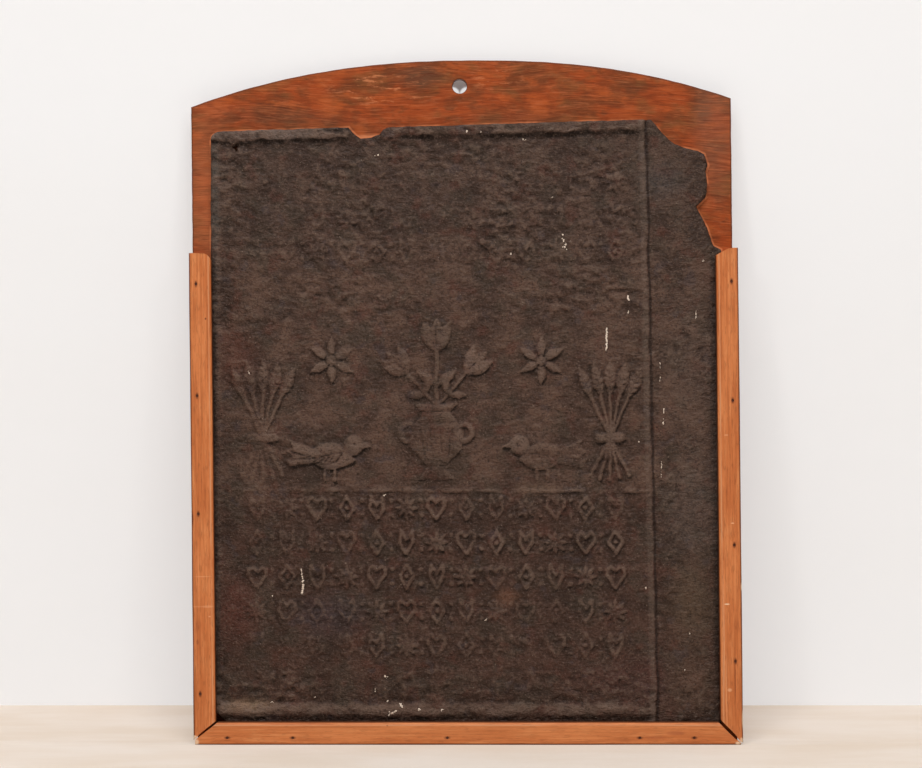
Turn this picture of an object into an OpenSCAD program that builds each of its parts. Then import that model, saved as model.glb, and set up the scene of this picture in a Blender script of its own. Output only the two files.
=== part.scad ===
// Cast-iron stove plate on an arched plywood board, held on three sides by rebated wooden strips.
// Millimetres. X runs to the right seen from the front, Z up, and the front faces -Y.
// The origin is at the middle of the bottom, where the frame stands.

/* [Plate] */
// Width of the casting, edge to edge
plate_w = 564; // [500:1:640]
// Height of the casting at its left edge
plate_h = 660; // [600:1:720]
// Thickness of the casting away from its relief
plate_t = 7; // [5:0.5:9]
// Rise of the top edge towards the right, in degrees
top_slope = 1.6; // [0:0.1:2.5]
// Radius of the cast corner at the top left
plate_corner_r = 10; // [4:1:12]
// Radius of the cast corner at the bottom left
low_corner_r = 38; // [10:1:50]
// Width and height of the piece that has broken off the top right corner
break_w = 77; // [60:1:110]
break_h = 144; // [110:1:170]
// Width and depth of the notch in the top edge
notch_w = 44; // [20:1:60]
notch_h = 12.5; // [6:0.5:18]
// Distance of the notch's middle from the left edge
notch_x = 173; // [60:1:240]
// Size of the small hole near the top left corner, where the iron didn't fill the mould
blowhole = 5; // [3:0.5:8]
// Distances of that hole from the left and top edges
blowhole_in = 27; // [20:1:40]
blowhole_down = 18; // [16:1:40]

/* [Border] */
// Width of the rounded bead along the field's left, top and bottom
bead_w = 13; // [8:0.5:18]
// Height of that bead above the field
bead_h = 3; // [2:0.5:5]
// Distance of its centre line from the casting's left and top edges
bead_inset = 6.5; // [6:0.5:12]
// Height of the bottom bead's centre line above the casting's bottom edge
bottom_bead = 22; // [19:0.5:30]
// Width and height of the thinner bead that closes the field on the right
rib_w = 9; // [6:0.5:14]
rib_h = 2.5; // [1.5:0.5:4]
// Distance from the casting's right edge in to that bead, at the bottom
flange_w = 74; // [50:1:100]
// Lean of that bead to the left, in degrees
flange_lean = 1.1; // [0:0.05:2]
// How far the plain flange beyond the field lies below it
flange_drop = 2; // [0.5:0.5:3]

/* [Relief] */
// Height of the figures above the field
relief_h = 2.5; // [1:0.5:4]
// Height of the ornament rows above the field
row_relief_h = 2; // [1:0.5:4]
// Spacing of the ornament rows
row_pitch = 38; // [34:0.5:41]
// Spacing of the ornaments along a row
cell_w = 33; // [27:0.5:40]
// Height of an ornament
cell_h = 26; // [20:1:30]
// Rows below the picture
lower_rows = 6; // [3:1:6]
// Rows above the picture
upper_rows = 3; // [1:1:3]
// Height of the lowest row's middle above the casting's bottom edge
first_row = 54; // [50:1:64]
// Depth of the highest row's middle below the casting's top edge
last_row = 56; // [46:1:64]
// Height of the ground under the figures, above the picture's lower rule
ground_h = 12; // [6:1:16]
// Width and height of that rule
rule_t = 3; // [2:0.5:5]
rule_h = 1.5; // [1:0.5:3]
// Height of the vase
vase_h = 84; // [60:1:92]
// Length of a flower's stem
stem_len = 62; // [50:1:66]
// Height of a flower's head
head_h = 38; // [26:1:42]
// Length of a bird's body
bird_len = 56; // [44:1:62]
// Height of a sheaf
sheaf_h = 132; // [100:1:150]
// Radius of the compass stars
star_r = 27; // [18:1:32]
// Height of the compass stars' middles above the ground
star_z = 132; // [110:1:150]
// Spacing of the two birds, and of the stars above them
bird_gap = 232; // [200:1:244]
// Spacing of the two sheaves
sheaf_gap = 384; // [360:1:392]

/* [Strips] */
// Face width of the moulding
strip_w = 24.8; // [22:0.2:32]
// Thickness of the moulding, front to back
strip_t = 20; // [18:0.5:26]
// Width of the rebate that takes the casting's edge
rebate_w = 8.8; // [8:0.2:12]
// How far the side strips cover the casting's edges at mid height
lap = 4.4; // [4:0.1:5.5]
// Clearance in front of the casting's beads inside the rebate
rebate_gap = 1; // [0.5:0.5:4]
// Rounding of the inner front edge
arris_r = 4; // [1:0.5:5]
// Length of the left strip at its outer edge
left_len = 541; // [460:1:600]
// Length of the right strip at its outer edge
right_len = 547; // [460:1:600]
// Radius that rounds off the left strip's upper end
end_round = 11; // [4:1:15]
// Width and height of the cut across the right strip's upper end
end_cut_w = 15; // [4:1:20]
end_cut_h = 8; // [3:1:14]
// Opening of the left mitre
left_mitre_gap = 2.2; // [0.5:0.1:4]
// Opening of the right mitre
right_mitre_gap = 3.2; // [0.5:0.1:4]
// Lean of the frame to the left, in degrees
lean = 0.6; // [0:0.1:0.9]

/* [Board] */
// Thickness of the plywood
board_t = 12; // [9:0.5:18]
// Board above the casting's top left corner, at the crown of the arch
head_room = 80; // [66:1:110]
// Drop of the arch to the left and right shoulders
left_drop = 52; // [30:1:60]
right_drop = 42; // [30:1:60]
// Crown of the arch, to the right of the middle
crown_x = 15; // [-20:1:30]
// Sharpness of the arch: 2 is a parabola
arch_power = 2.3; // [2:0.1:3]
// How far the left and right strips stand out past the board's sides
left_overhang = 2; // [0:0.5:5]
right_overhang = 4; // [0:0.5:6]
// Diameter of the hanging hole
hole_d = 16; // [8:0.5:20]
// Depth of the hanging hole's centre below the crown
hole_drop = 29; // [20:1:32]
// Hanging hole to the left of the middle
hole_x = 7; // [0:1:30]

/* [Nails] */
// Nails of the left strip, up from its lower corner and down from its upper end
left_nails_up = [56, 254]; // [40:1:260]
left_nails_down = [34, 157]; // [25:1:240]
// Nails of the right strip, up from its lower corner and down from its upper end
right_nails_up = [92, 220]; // [40:1:260]
right_nails_down = [37, 168]; // [25:1:240]
// Nails of the bottom strip, in from its left and right ends
bottom_nails_left = [37, 109, 279]; // [30:1:290]
bottom_nails_right = [54, 114]; // [30:1:240]
// Diameter of a nail's shank
nail_d = 1.8; // [1.4:0.1:2.4]
// Diameter of its head
nail_head_d = 3; // [2.6:0.1:4]
// Thickness of its head
nail_head_t = 1.2; // [0.8:0.1:2]
// Length of a nail
nail_len = 26; // [23:0.5:27]
// Depth of a head below the wood's face
nail_set = 1; // [0.5:0.1:2]
// Distance of the nails from a strip's outer edge
nail_inset = 7.8; // [5:0.1:9]

/* [Hidden] */
$fn = 64;

// Depths, from the wall side (+Y) to the front
depth = board_t + strip_t;
y_back = depth / 2;
y_board = y_back - board_t;
y_front = -depth / 2;
y_plate = y_board - plate_t;
rebate_d = plate_t + bead_h + rebate_gap;

// The casting stands on the bottom strip's rebate
seat_z = strip_w - rebate_w;
plate_top = seat_z + plate_h;
half_plate = plate_w / 2;
half_out = half_plate - lap + strip_w;
mid_z = left_len / 2;
lean_shift = mid_z * tan(lean);
left_corner = -half_out + lean_shift;
right_corner = half_out + lean_shift;
bottom_len = right_corner - left_corner;

board_top = plate_top + head_room;
hole_z = board_top - hole_drop;
arch_steps = 24;

sunk = 1;
far = 2000;

bottom_bead_z = seat_z + bottom_bead;
field_left = -half_plate + bead_inset + bead_w / 2;
field_right = half_plate - flange_w - rib_w / 2;
field_w = field_right - field_left;
field_x = (field_left + field_right) / 2;
row_cells = floor((field_w - cell_w / 2) / cell_w);
// The picture's lower rule lies half a row above the rows below it
rule_z = seat_z + first_row + (lower_rows - 0.5) * row_pitch;
ground_z = rule_z + ground_h;

// Height of the casting's top edge at x
function top_edge(x) = plate_top + (x + half_plate) * tan(top_slope);
// X of the leaning bead on the right at height z
function flange_bead(z) = half_plate - flange_w - (z - seat_z) * tan(flange_lean);

// The arch, from the right shoulder to the left one
function arch_z(x, half) = board_top
  - (x > crown_x ? right_drop : left_drop)
  * pow(abs(x - crown_x) / abs(half - crown_x), arch_power);
function arch(right, left) = [
  for (i = [0:arch_steps])
    let (x = right + (left - right) * i / arch_steps)
      [x, arch_z(x, x > crown_x ? right : left)]
];

// Places what is drawn in the front view, grown forwards from depth y
module front(y, h) {
  translate([0, y, 0]) rotate([90, 0, 0]) linear_extrude(h) children();
}

// A leaf that stands on the origin, with a straight-sided outline that swells to its middle
module leaf(length, width) {
  steps = 4;
  side = [for (i = [0:steps]) [width / 2 * sin(180 * i / steps), length * i / steps]];
  polygon(concat(side, [for (i = [steps - 1:-1:1]) [-side[i][0], side[i][1]]]));
}

// A six-petalled compass star
module star(r) {
  circle(r * 0.2, $fn = 6);
  for (i = [0:5]) rotate(60 * i) leaf(r, r * 0.36);
}

// A tulip head of three petals
module tulip(h) {
  for (a = [-24, 0, 24]) rotate(a) leaf(h, h * 0.42);
}

// A stem with its pair of leaves and its tulip
module flower(stem, head) {
  translate([-stem * 0.03, 0]) square([stem * 0.06, stem]);
  translate([0, stem * 0.35]) for (a = [-50, 50]) rotate(a) leaf(stem * 0.45, stem * 0.17);
  translate([0, stem * 0.95]) tulip(head);
}

// A footed vase with a rim and two ring handles
module vase(h) scale(h) {
  polygon([
    [-0.24, 0], [0.24, 0], [0.11, 0.16], [0.33, 0.42], [0.36, 0.62], [0.18, 0.88],
    [0.29, 1], [-0.29, 1], [-0.18, 0.88], [-0.36, 0.62], [-0.33, 0.42], [-0.11, 0.16]
  ]);
  for (s = [-1, 1]) translate([s * 0.37, 0.62]) difference() {
    circle(0.145, $fn = 8);
    circle(0.08, $fn = 8);
  }
}

// A plump bird that looks to the left, as long in the body as its size
module bird(size) scale(size) {
  translate([-0.48, 0.39]) rotate(-82) leaf(1, 0.54);
  translate([-0.43, 0.68]) circle(0.2, $fn = 12);
  polygon([[-0.61, 0.75], [-0.8, 0.65], [-0.6, 0.61]]);
  polygon([
    [0.18, 0.36], [0.82, 0.25], [0.9, 0.4], [0.78, 0.46],
    [0.9, 0.57], [0.75, 0.64], [0.82, 0.79], [0.15, 0.54]
  ]);
  for (x = [-0.1, 0.1]) translate([x, -0.04]) square([0.05, 0.3]);
}

// A sheaf of grain, tied below its middle
module sheaf(h) scale(h) translate([0, 0.35]) {
  for (i = [-2:2]) rotate(-i * 12) {
    translate([-0.012, 0]) square([0.024, 0.45]);
    translate([0, 0.35]) leaf(0.3, 0.1);
  }
  for (i = [-2:2]) rotate(180 - i * 14) translate([-0.012, 0]) square([0.024, 0.35]);
  translate([-0.1, -0.04]) square([0.2, 0.08]);
}

// The picture: a vase of tulips between birds, stars and sheaves
module picture() translate([field_x, ground_z]) {
  vase(vase_h);
  translate([0, vase_h * 0.97]) {
    flower(stem_len, head_h);
    for (a = [-42, 42]) rotate(a) flower(stem_len * 0.8, head_h * 0.9);
  }
  for (s = [-1, 1]) {
    translate([s * bird_gap / 2, 0]) mirror([s < 0 ? 1 : 0, 0]) bird(bird_len);
    translate([s * bird_gap / 2, star_z]) star(star_r);
    translate([s * sheaf_gap / 2, 0]) sheaf(sheaf_h);
  }
}

// The ornaments of the rows, in shares of their height: a lozenge, a tulip, a star and a heart
ornaments = [
  [[0, -0.5], [0.3, 0], [0, 0.5], [-0.3, 0]],
  [[0, -0.5], [0.3, 0], [0.26, 0.5], [0, 0.15], [-0.26, 0.5], [-0.3, 0]],
  [for (i = [0:7]) (i % 2 == 0 ? 0.5 : 0.19) * [cos(45 * i), sin(45 * i)]],
  [
    [0, -0.5], [0.4, 0.08], [0.38, 0.34], [0.2, 0.46],
    [0, 0.28], [-0.2, 0.46], [-0.38, 0.34], [-0.4, 0.08]
  ]
];

module ornament_row(z, turn) {
  start = field_x - (row_cells - 1) * cell_w / 2;
  for (i = [0:row_cells - 1])
    translate([start + i * cell_w, z]) polygon(cell_h * ornaments[(i + turn) % 4]);
}

module ornament_rows() {
  for (j = [0:lower_rows - 1])
    ornament_row(seat_z + first_row + j * row_pitch, j);
  for (j = [0:upper_rows - 1])
    ornament_row(plate_top - last_row - j * row_pitch, j + 2);
}

// A rounded bead along Z, standing out to the front: w and h are its size at the field
module bead(w, h, length) {
  r = (w * w / 4 + h * h) / (2 * h);
  low = flange_drop + sunk;
  mirror([0, 1, 0]) linear_extrude(length, center = true) intersection() {
    translate([0, h - r]) circle(r);
    translate([-w, -low]) square([2 * w, h + low]);
  }
}

module border() {
  mid = (seat_z + plate_top) / 2;
  top_mid = top_edge(field_x) - bead_inset;
  span = field_w + bead_w;
  translate([-half_plate + bead_inset, y_plate, mid + bottom_bead / 2])
    bead(bead_w, bead_h, plate_h - bottom_bead);
  translate([field_x, y_plate, bottom_bead_z])
    rotate([0, 90, 0]) bead(bead_w, bead_h, span);
  translate([field_x, y_plate, top_mid])
    rotate([0, 90 - top_slope, 0]) bead(bead_w, bead_h, span);
  translate([flange_bead(mid), y_plate, mid + bottom_bead / 2])
    rotate([0, -flange_lean, 0]) bead(rib_w, rib_h, plate_h - bottom_bead);
  front(y_plate + sunk, sunk + rule_h) translate([-half_plate + bead_inset, rule_z - rule_t / 2])
    square([flange_bead(rule_z) + half_plate - bead_inset, rule_t]);
}

// The edge of the broken corner, in shares of its width and height, from the right edge up
// and round to the top edge
fracture = [
  [0, 1], [0.11, 0.97], [0.2, 0.83], [0.36, 0.67], [0.32, 0.655], [0.22, 0.595],
  [0.195, 0.5], [0.22, 0.4], [0.185, 0.35], [0.24, 0.28], [0.34, 0.255], [0.51, 0.235],
  [0.66, 0.195], [0.82, 0.12], [0.93, 0.05], [1, 0]
];
// The edge of the notch, in shares of its width and depth
chip = [
  [-0.52, 0.3], [-0.48, -0.1], [-0.38, -0.6], [-0.3, -1],
  [0.12, -0.7], [0.28, -0.28], [0.5, 0.1], [0.52, 0.3]
];

// Outline of the casting: cast round corners on the left, a broken one at the top right
module plate_outline() {
  r = plate_corner_r;
  low = low_corner_r;
  left = -half_plate;
  left_top = top_edge(left);
  right_top = top_edge(half_plate - break_w);
  difference() {
    union() {
      polygon(concat(
        [[left, seat_z + low], [left + low, seat_z + low], [left + low, seat_z]],
        [[half_plate, seat_z]],
        [for (p = fracture) [half_plate - p[0] * break_w, right_top - p[1] * break_h]],
        [[left + r, top_edge(left + r)], [left + r, left_top - r], [left, left_top - r]]
      ));
      translate([left + r, left_top - r]) circle(r);
      translate([left + low, seat_z + low]) circle(low);
    }
    translate([left + notch_x, top_edge(left + notch_x)])
      polygon([for (p = chip) [p[0] * notch_w, p[1] * notch_h]]);
    translate([left + blowhole_in, left_top - blowhole_down])
      for (a = [-40, 40, 175]) rotate(a) translate([-blowhole / 5, -blowhole / 10])
        square([blowhole * 0.4, blowhole * 0.6]);
  }
}

// The flange to the right of the field and below it, which is cast thinner
module flange_cut() {
  high = plate_top + plate_w;
  front(y_plate + flange_drop, far) polygon([
    [-plate_w, seat_z - sunk], [plate_w, seat_z - sunk], [plate_w, high],
    [flange_bead(high), high], [flange_bead(bottom_bead_z), bottom_bead_z],
    [-plate_w, bottom_bead_z]
  ]);
}

module stove_plate() color([0.30, 0.23, 0.20]) {
  difference() {
    front(y_board, plate_t) plate_outline();
    flange_cut();
  }
  intersection() {
    border();
    front(y_board, plate_t + bead_h) plate_outline();
  }
  front(y_plate + sunk, sunk + relief_h) picture();
  front(y_plate + sunk, sunk + row_relief_h) ornament_rows();
}

// Section of the moulding: outer edge at x = 0, back at y = 0
module strip_section() {
  difference() {
    square([strip_w, strip_t]);
    translate([strip_w - rebate_w, -1]) square([rebate_w + 1, rebate_d + 1]);
    translate([strip_w - arris_r, strip_t - arris_r]) difference() {
      square(arris_r + 1);
      circle(arris_r);
    }
  }
}

// A length of moulding along +Z from z0, with its back on the board and its face to the front
module moulding(z0, length) {
  translate([0, y_board, z0]) mirror([0, 1, 0]) linear_extrude(length) strip_section();
}

// Frames of the three strips: outer edge on Z, lower corner at the origin
module at_left() {
  translate([left_corner, 0, 0]) rotate([0, -lean, 0]) children();
}
module at_right() {
  translate([right_corner, 0, 0]) rotate([0, -lean, 0]) mirror([1, 0, 0]) children();
}
module at_bottom() {
  translate([right_corner, 0, 0]) rotate([0, -90, 0]) children();
}

// Everything below a mitre through the origin that rises inwards, and everything above it
module under_mitre(gap) {
  rotate([0, -45, 0]) translate([-far / 2, -far / 2, gap / 2 - far]) cube(far);
}
module over_mitre(gap) {
  rotate([0, -45, 0]) translate([-far / 2, -far / 2, -gap / 2]) cube(far);
}

// One nail, driven from the face of a strip at the origin of X and Z
module nail() {
  translate([0, y_front + nail_set, 0]) rotate([-90, 0, 0]) {
    cylinder(d = nail_head_d, h = nail_head_t);
    cylinder(d = nail_d, h = nail_len);
  }
}

// The hole that the nail makes
module nail_hole() {
  translate([0, y_front - 1, 0]) rotate([-90, 0, 0])
    cylinder(d = nail_head_d, h = 1 + nail_set + nail_head_t);
  translate([0, y_front, 0]) rotate([-90, 0, 0]) cylinder(d = nail_d, h = nail_set + nail_len);
}

// Repeats a nail or its hole at every place on a strip
module along_left() {
  for (z = concat(left_nails_up, [for (d = left_nails_down) left_len - d]))
    at_left() translate([nail_inset, 0, z]) children();
}
module along_right() {
  for (z = concat(right_nails_up, [for (d = right_nails_down) right_len - d]))
    at_right() translate([nail_inset, 0, z]) children();
}
module along_bottom() {
  for (z = concat(bottom_nails_right, [for (d = bottom_nails_left) bottom_len - d]))
    at_bottom() translate([nail_inset, 0, z]) children();
}

module left_strip() color([0.76, 0.43, 0.25]) difference() {
  at_left() difference() {
    moulding(-strip_w, left_len + strip_w);
    translate([strip_w - end_round, 0, left_len - end_round]) rotate([90, 0, 0])
      linear_extrude(far, center = true) difference() {
        square(end_round + 1);
        circle(end_round);
      }
  }
  translate([left_corner, 0, 0]) under_mitre(left_mitre_gap);
  along_left() nail_hole();
}

module right_strip() color([0.76, 0.44, 0.26]) difference() {
  at_right() difference() {
    moulding(-strip_w, right_len + strip_w);
    translate([strip_w, 0, right_len]) rotate([90, 0, 0]) linear_extrude(far, center = true)
      polygon([[-end_cut_w, 0], [0, -end_cut_h], [1, -end_cut_h], [1, 1], [-end_cut_w, 1]]);
  }
  translate([right_corner, 0, 0]) mirror([1, 0, 0]) under_mitre(right_mitre_gap);
  along_right() nail_hole();
}

module bottom_strip() color([0.75, 0.44, 0.26]) difference() {
  at_bottom() moulding(0, bottom_len);
  translate([left_corner, 0, 0]) over_mitre(left_mitre_gap);
  translate([right_corner, 0, 0]) mirror([1, 0, 0]) over_mitre(right_mitre_gap);
  along_bottom() nail_hole();
}

// The board leans with the strips; its bottom edge is level
module backboard() color([0.56, 0.29, 0.17]) {
  left = left_corner + left_overhang;
  right = right_corner - right_overhang;
  left_shoulder = left - (board_top - left_drop) * tan(lean);
  right_shoulder = right - (board_top - right_drop) * tan(lean);
  difference() {
    front(y_back, board_t)
      polygon(concat([[left, 0], [right, 0]], arch(right_shoulder, left_shoulder)));
    translate([-hole_x, 0, hole_z]) rotate([90, 0, 0])
      cylinder(d = hole_d, h = far, center = true);
    along_left() nail_hole();
    along_right() nail_hole();
    along_bottom() nail_hole();
  }
}

module left_strip_nails() color([0.25, 0.14, 0.09]) along_left() nail();
module right_strip_nails() color([0.25, 0.14, 0.09]) along_right() nail();
module bottom_strip_nails() color([0.25, 0.14, 0.09]) along_bottom() nail();

stove_plate();
backboard();
left_strip();
right_strip();
bottom_strip();
left_strip_nails();
right_strip_nails();
bottom_strip_nails();
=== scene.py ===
import functools
import math

import bpy
import numpy as np
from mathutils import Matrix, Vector, geometry


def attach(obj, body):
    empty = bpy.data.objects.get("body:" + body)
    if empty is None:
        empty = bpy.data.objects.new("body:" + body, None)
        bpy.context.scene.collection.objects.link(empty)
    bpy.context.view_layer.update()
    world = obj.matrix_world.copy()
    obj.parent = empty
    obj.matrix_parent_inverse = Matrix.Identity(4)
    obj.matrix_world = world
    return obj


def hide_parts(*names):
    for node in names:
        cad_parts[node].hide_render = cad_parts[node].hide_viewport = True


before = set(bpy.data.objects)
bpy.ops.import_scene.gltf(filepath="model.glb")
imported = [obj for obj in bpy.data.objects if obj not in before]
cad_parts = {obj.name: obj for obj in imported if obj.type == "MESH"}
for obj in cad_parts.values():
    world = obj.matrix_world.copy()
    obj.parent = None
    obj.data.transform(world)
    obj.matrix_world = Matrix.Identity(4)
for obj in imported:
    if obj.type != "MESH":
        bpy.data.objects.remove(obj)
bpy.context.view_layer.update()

MM = 0.001

# Sizes of the CAD source, in millimetres: X to the right, Z up, and the front faces -Y
PLATE_W = 564
PLATE_H = 660
PLATE_T = 7
TOP_SLOPE = math.radians(1.6)
CORNER_R = 10
LOW_CORNER_R = 38
BREAK_W = 77
BREAK_H = 144
NOTCH_W = 44
NOTCH_H = 12.5
NOTCH_X = 173
BLOWHOLE_IN = 27
BLOWHOLE_DOWN = 18
BEAD_W = 13
BEAD_H = 3
BEAD_INSET = 6.5
BOTTOM_BEAD = 22
RIB_W = 9
RIB_H = 2.5
FLANGE_W = 74
FLANGE_LEAN = math.radians(1.1)
FLANGE_DROP = 2
RELIEF_H = 2.5
ROW_H = 2
ROW_PITCH = 38
CELL_W = 33
CELL_H = 26
LOWER_ROWS = 6
FIRST_ROW = 54
LAST_ROW = 56
GROUND_H = 12
RULE_T = 3
RULE_H = 1.5
VASE_H = 84
STEM_LEN = 62
HEAD_H = 38
BIRD_LEN = 56
SHEAF_H = 132
STAR_R = 27
STAR_Z = 132
BIRD_GAP = 232
SHEAF_GAP = 384
STRIP_W = 24.8
STRIP_T = 20
REBATE_W = 8.8
LAP = 4.4
REBATE_GAP = 1
ARRIS_R = 4
LEFT_LEN = 541
RIGHT_LEN = 547
END_ROUND = 11
END_CUT_W = 15
END_CUT_H = 8
LEFT_MITRE_GAP = 2.2
RIGHT_MITRE_GAP = 3.2
LEAN = math.radians(0.6)
BOARD_T = 12
HEAD_ROOM = 80
LEFT_DROP = 52
RIGHT_DROP = 42
CROWN_X = 15
ARCH_POWER = 2.3
LEFT_OVERHANG = 2
RIGHT_OVERHANG = 4
HOLE_D = 16
HOLE_DROP = 29
HOLE_X = 7
LEFT_NAILS = (56, 254, LEFT_LEN - 34, LEFT_LEN - 157)
RIGHT_NAILS = (92, 220, RIGHT_LEN - 37, RIGHT_LEN - 168)
NAIL_HEAD_D = 3
NAIL_SET = 1
NAIL_HEAD_T = 1.2
NAIL_INSET = 7.8
NAIL_PLAY = 0.05
PLY_PITCH = 4.8

DEPTH = BOARD_T + STRIP_T
Y_BACK = DEPTH / 2
Y_BOARD = Y_BACK - BOARD_T
Y_FRONT = -DEPTH / 2
Y_PLATE = Y_BOARD - PLATE_T
REBATE_D = PLATE_T + BEAD_H + REBATE_GAP
SEAT_Z = STRIP_W - REBATE_W
PLATE_TOP = SEAT_Z + PLATE_H
HALF_PLATE = PLATE_W / 2
HALF_OUT = HALF_PLATE - LAP + STRIP_W
LEAN_SHIFT = LEFT_LEN / 2 * math.tan(LEAN)
LEFT_CORNER = -HALF_OUT + LEAN_SHIFT
RIGHT_CORNER = HALF_OUT + LEAN_SHIFT
BOTTOM_LEN = RIGHT_CORNER - LEFT_CORNER
BOTTOM_NAILS = (54, 114, BOTTOM_LEN - 37, BOTTOM_LEN - 109, BOTTOM_LEN - 279)
BOARD_TOP = PLATE_TOP + HEAD_ROOM
HOLE_Z = BOARD_TOP - HOLE_DROP
BOTTOM_BEAD_Z = SEAT_Z + BOTTOM_BEAD
FIELD_LEFT = -HALF_PLATE + BEAD_INSET + BEAD_W / 2
FIELD_RIGHT = HALF_PLATE - FLANGE_W - RIB_W / 2
FIELD_W = FIELD_RIGHT - FIELD_LEFT
FIELD_X = (FIELD_LEFT + FIELD_RIGHT) / 2
ROW_CELLS = int((FIELD_W - CELL_W / 2) / CELL_W)
RULE_Z = SEAT_Z + FIRST_ROW + (LOWER_ROWS - 0.5) * ROW_PITCH
GROUND_Z = RULE_Z + GROUND_H


# Meshes

def make_object(name, verts, faces, smooth=True):
    """A mesh object from points in millimetres."""
    mesh = bpy.data.meshes.new(name)
    mesh.from_pydata([(x * MM, y * MM, z * MM) for x, y, z in verts], [], faces)
    mesh.update()
    mesh.shade_smooth() if smooth else mesh.shade_flat()
    piece = bpy.data.objects.new(name, mesh)
    bpy.context.scene.collection.objects.link(piece)
    return piece


def store(mesh, name, values):
    """Keeps a number or a vector for each vertex, for a material to read."""
    values = np.asarray(values, dtype=np.float32)
    kind, key = ("FLOAT", "value") if values.ndim == 1 else ("FLOAT_VECTOR", "vector")
    mesh.attributes.new(name, kind, "POINT").data.foreach_set(key, values.ravel())


def smooth_step(t):
    t = np.clip(t, 0, 1)
    return t * t * (3 - 2 * t)


NOISE_PERIOD = 256


@functools.lru_cache(maxsize=None)
def noise_angles(seed):
    return np.random.default_rng(seed).uniform(0, 2 * math.pi, (NOISE_PERIOD, NOISE_PERIOD))


def perlin(x, z, size, seed):
    """Gradient noise with lumps of the given size, from about -1 to 1."""
    angle = noise_angles(seed)
    u, v = x / size, z / size
    i, j = np.floor(u).astype(int), np.floor(v).astype(int)
    fu, fv = u - i, v - j

    def corner(di, dj):
        a = angle[(i + di) % NOISE_PERIOD, (j + dj) % NOISE_PERIOD]
        return np.cos(a) * (fu - di) + np.sin(a) * (fv - dj)

    su = fu ** 3 * (fu * (fu * 6 - 15) + 10)
    sv = fv ** 3 * (fv * (fv * 6 - 15) + 10)
    low = corner(0, 0) * (1 - su) + corner(1, 0) * su
    high = corner(0, 1) * (1 - su) + corner(1, 1) * su
    return 1.6 * (low * (1 - sv) + high * sv)


def bumps(x, z, size, seed, octaves):
    """Perlin noise at the given size and at each half of it."""
    total = np.zeros(np.shape(x))
    for k in range(octaves):
        total += perlin(x, z, size / 2 ** k, seed + k) / 2 ** k
    return total


# Outlines in the front view, as lists of (x, z)

def top_edge(x):
    return PLATE_TOP + (x + HALF_PLATE) * math.tan(TOP_SLOPE)


def flange_bead(z):
    return HALF_PLATE - FLANGE_W - (z - SEAT_Z) * math.tan(FLANGE_LEAN)


def arc(x, z, radius, start, end, steps):
    """Points of an arc, with its angles in degrees."""
    turns = [math.radians(start + (end - start) * k / steps) for k in range(steps + 1)]
    return [(x + radius * math.cos(a), z + radius * math.sin(a)) for a in turns]


FRACTURE = [
    (0, 1), (0.11, 0.97), (0.2, 0.83), (0.36, 0.67), (0.32, 0.655), (0.22, 0.595),
    (0.195, 0.5), (0.22, 0.4), (0.185, 0.35), (0.24, 0.265), (0.34, 0.24), (0.51, 0.22),
    (0.66, 0.187), (0.82, 0.12), (0.93, 0.05), (1, 0),
]
CHIP = [
    (-0.48, -0.02), (-0.4, -0.35), (-0.3, -0.7), (-0.17, -1), (0.1, -0.88), (0.3, -0.62),
    (0.39, -0.2), (0.5, 0),
]


def plate_outline():
    """The casting's outline, anticlockwise from the bottom right corner."""
    left = -HALF_PLATE
    right_top = top_edge(HALF_PLATE - BREAK_W)
    notch = left + NOTCH_X
    points = [(HALF_PLATE, SEAT_Z)]
    points += [(HALF_PLATE - u * BREAK_W, right_top - v * BREAK_H) for u, v in FRACTURE]
    points += [(notch + u * NOTCH_W, top_edge(notch) + v * NOTCH_H) for u, v in reversed(CHIP)]
    points += arc(left + CORNER_R, top_edge(left) - CORNER_R, CORNER_R, 90, 180, 6)
    points += arc(left + LOW_CORNER_R, SEAT_Z + LOW_CORNER_R, LOW_CORNER_R, 180, 270, 12)
    return points


def blowhole_outline():
    """A small three-lobed hole near the top left corner."""
    x = -HALF_PLATE + BLOWHOLE_IN
    z = top_edge(-HALF_PLATE) - BLOWHOLE_DOWN
    points = []
    for k in range(24):
        a = 2 * math.pi * k / 24
        r = 2 + 1.1 * math.cos(3 * (a - math.radians(50)))
        points.append((x + r * math.cos(a), z + 1.35 * r * math.sin(a)))
    return points


def roughened(points, step, amount, seed):
    """The outline in short steps, each shifted a little by noise."""
    made = []
    for (ax, az), (bx, bz) in zip(points, points[1:] + points[:1]):
        count = max(1, round(math.hypot(bx - ax, bz - az) / step))
        for k in range(count):
            made.append((ax + (bx - ax) * k / count, az + (bz - az) * k / count))
    x, z = np.array(made).T
    shift_x = amount * bumps(x, z, 14, seed, 3)
    shift_z = amount * bumps(x, z, 14, seed + 9, 3)
    return np.stack([x + shift_x, z + shift_z], axis=1)


def grid_inside(xs, zs, loop):
    """Which points of a grid lie inside a closed outline."""
    inside = np.zeros((len(zs), len(xs)), bool)
    for (ax, az), (bx, bz) in zip(loop, np.roll(loop, -1, axis=0)):
        rows = np.nonzero((az > zs) != (bz > zs))[0]
        if len(rows):
            crossing = ax + (zs[rows] - az) * (bx - ax) / (bz - az)
            inside[rows] ^= xs[None, :] < crossing[:, None]
    return inside


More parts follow.
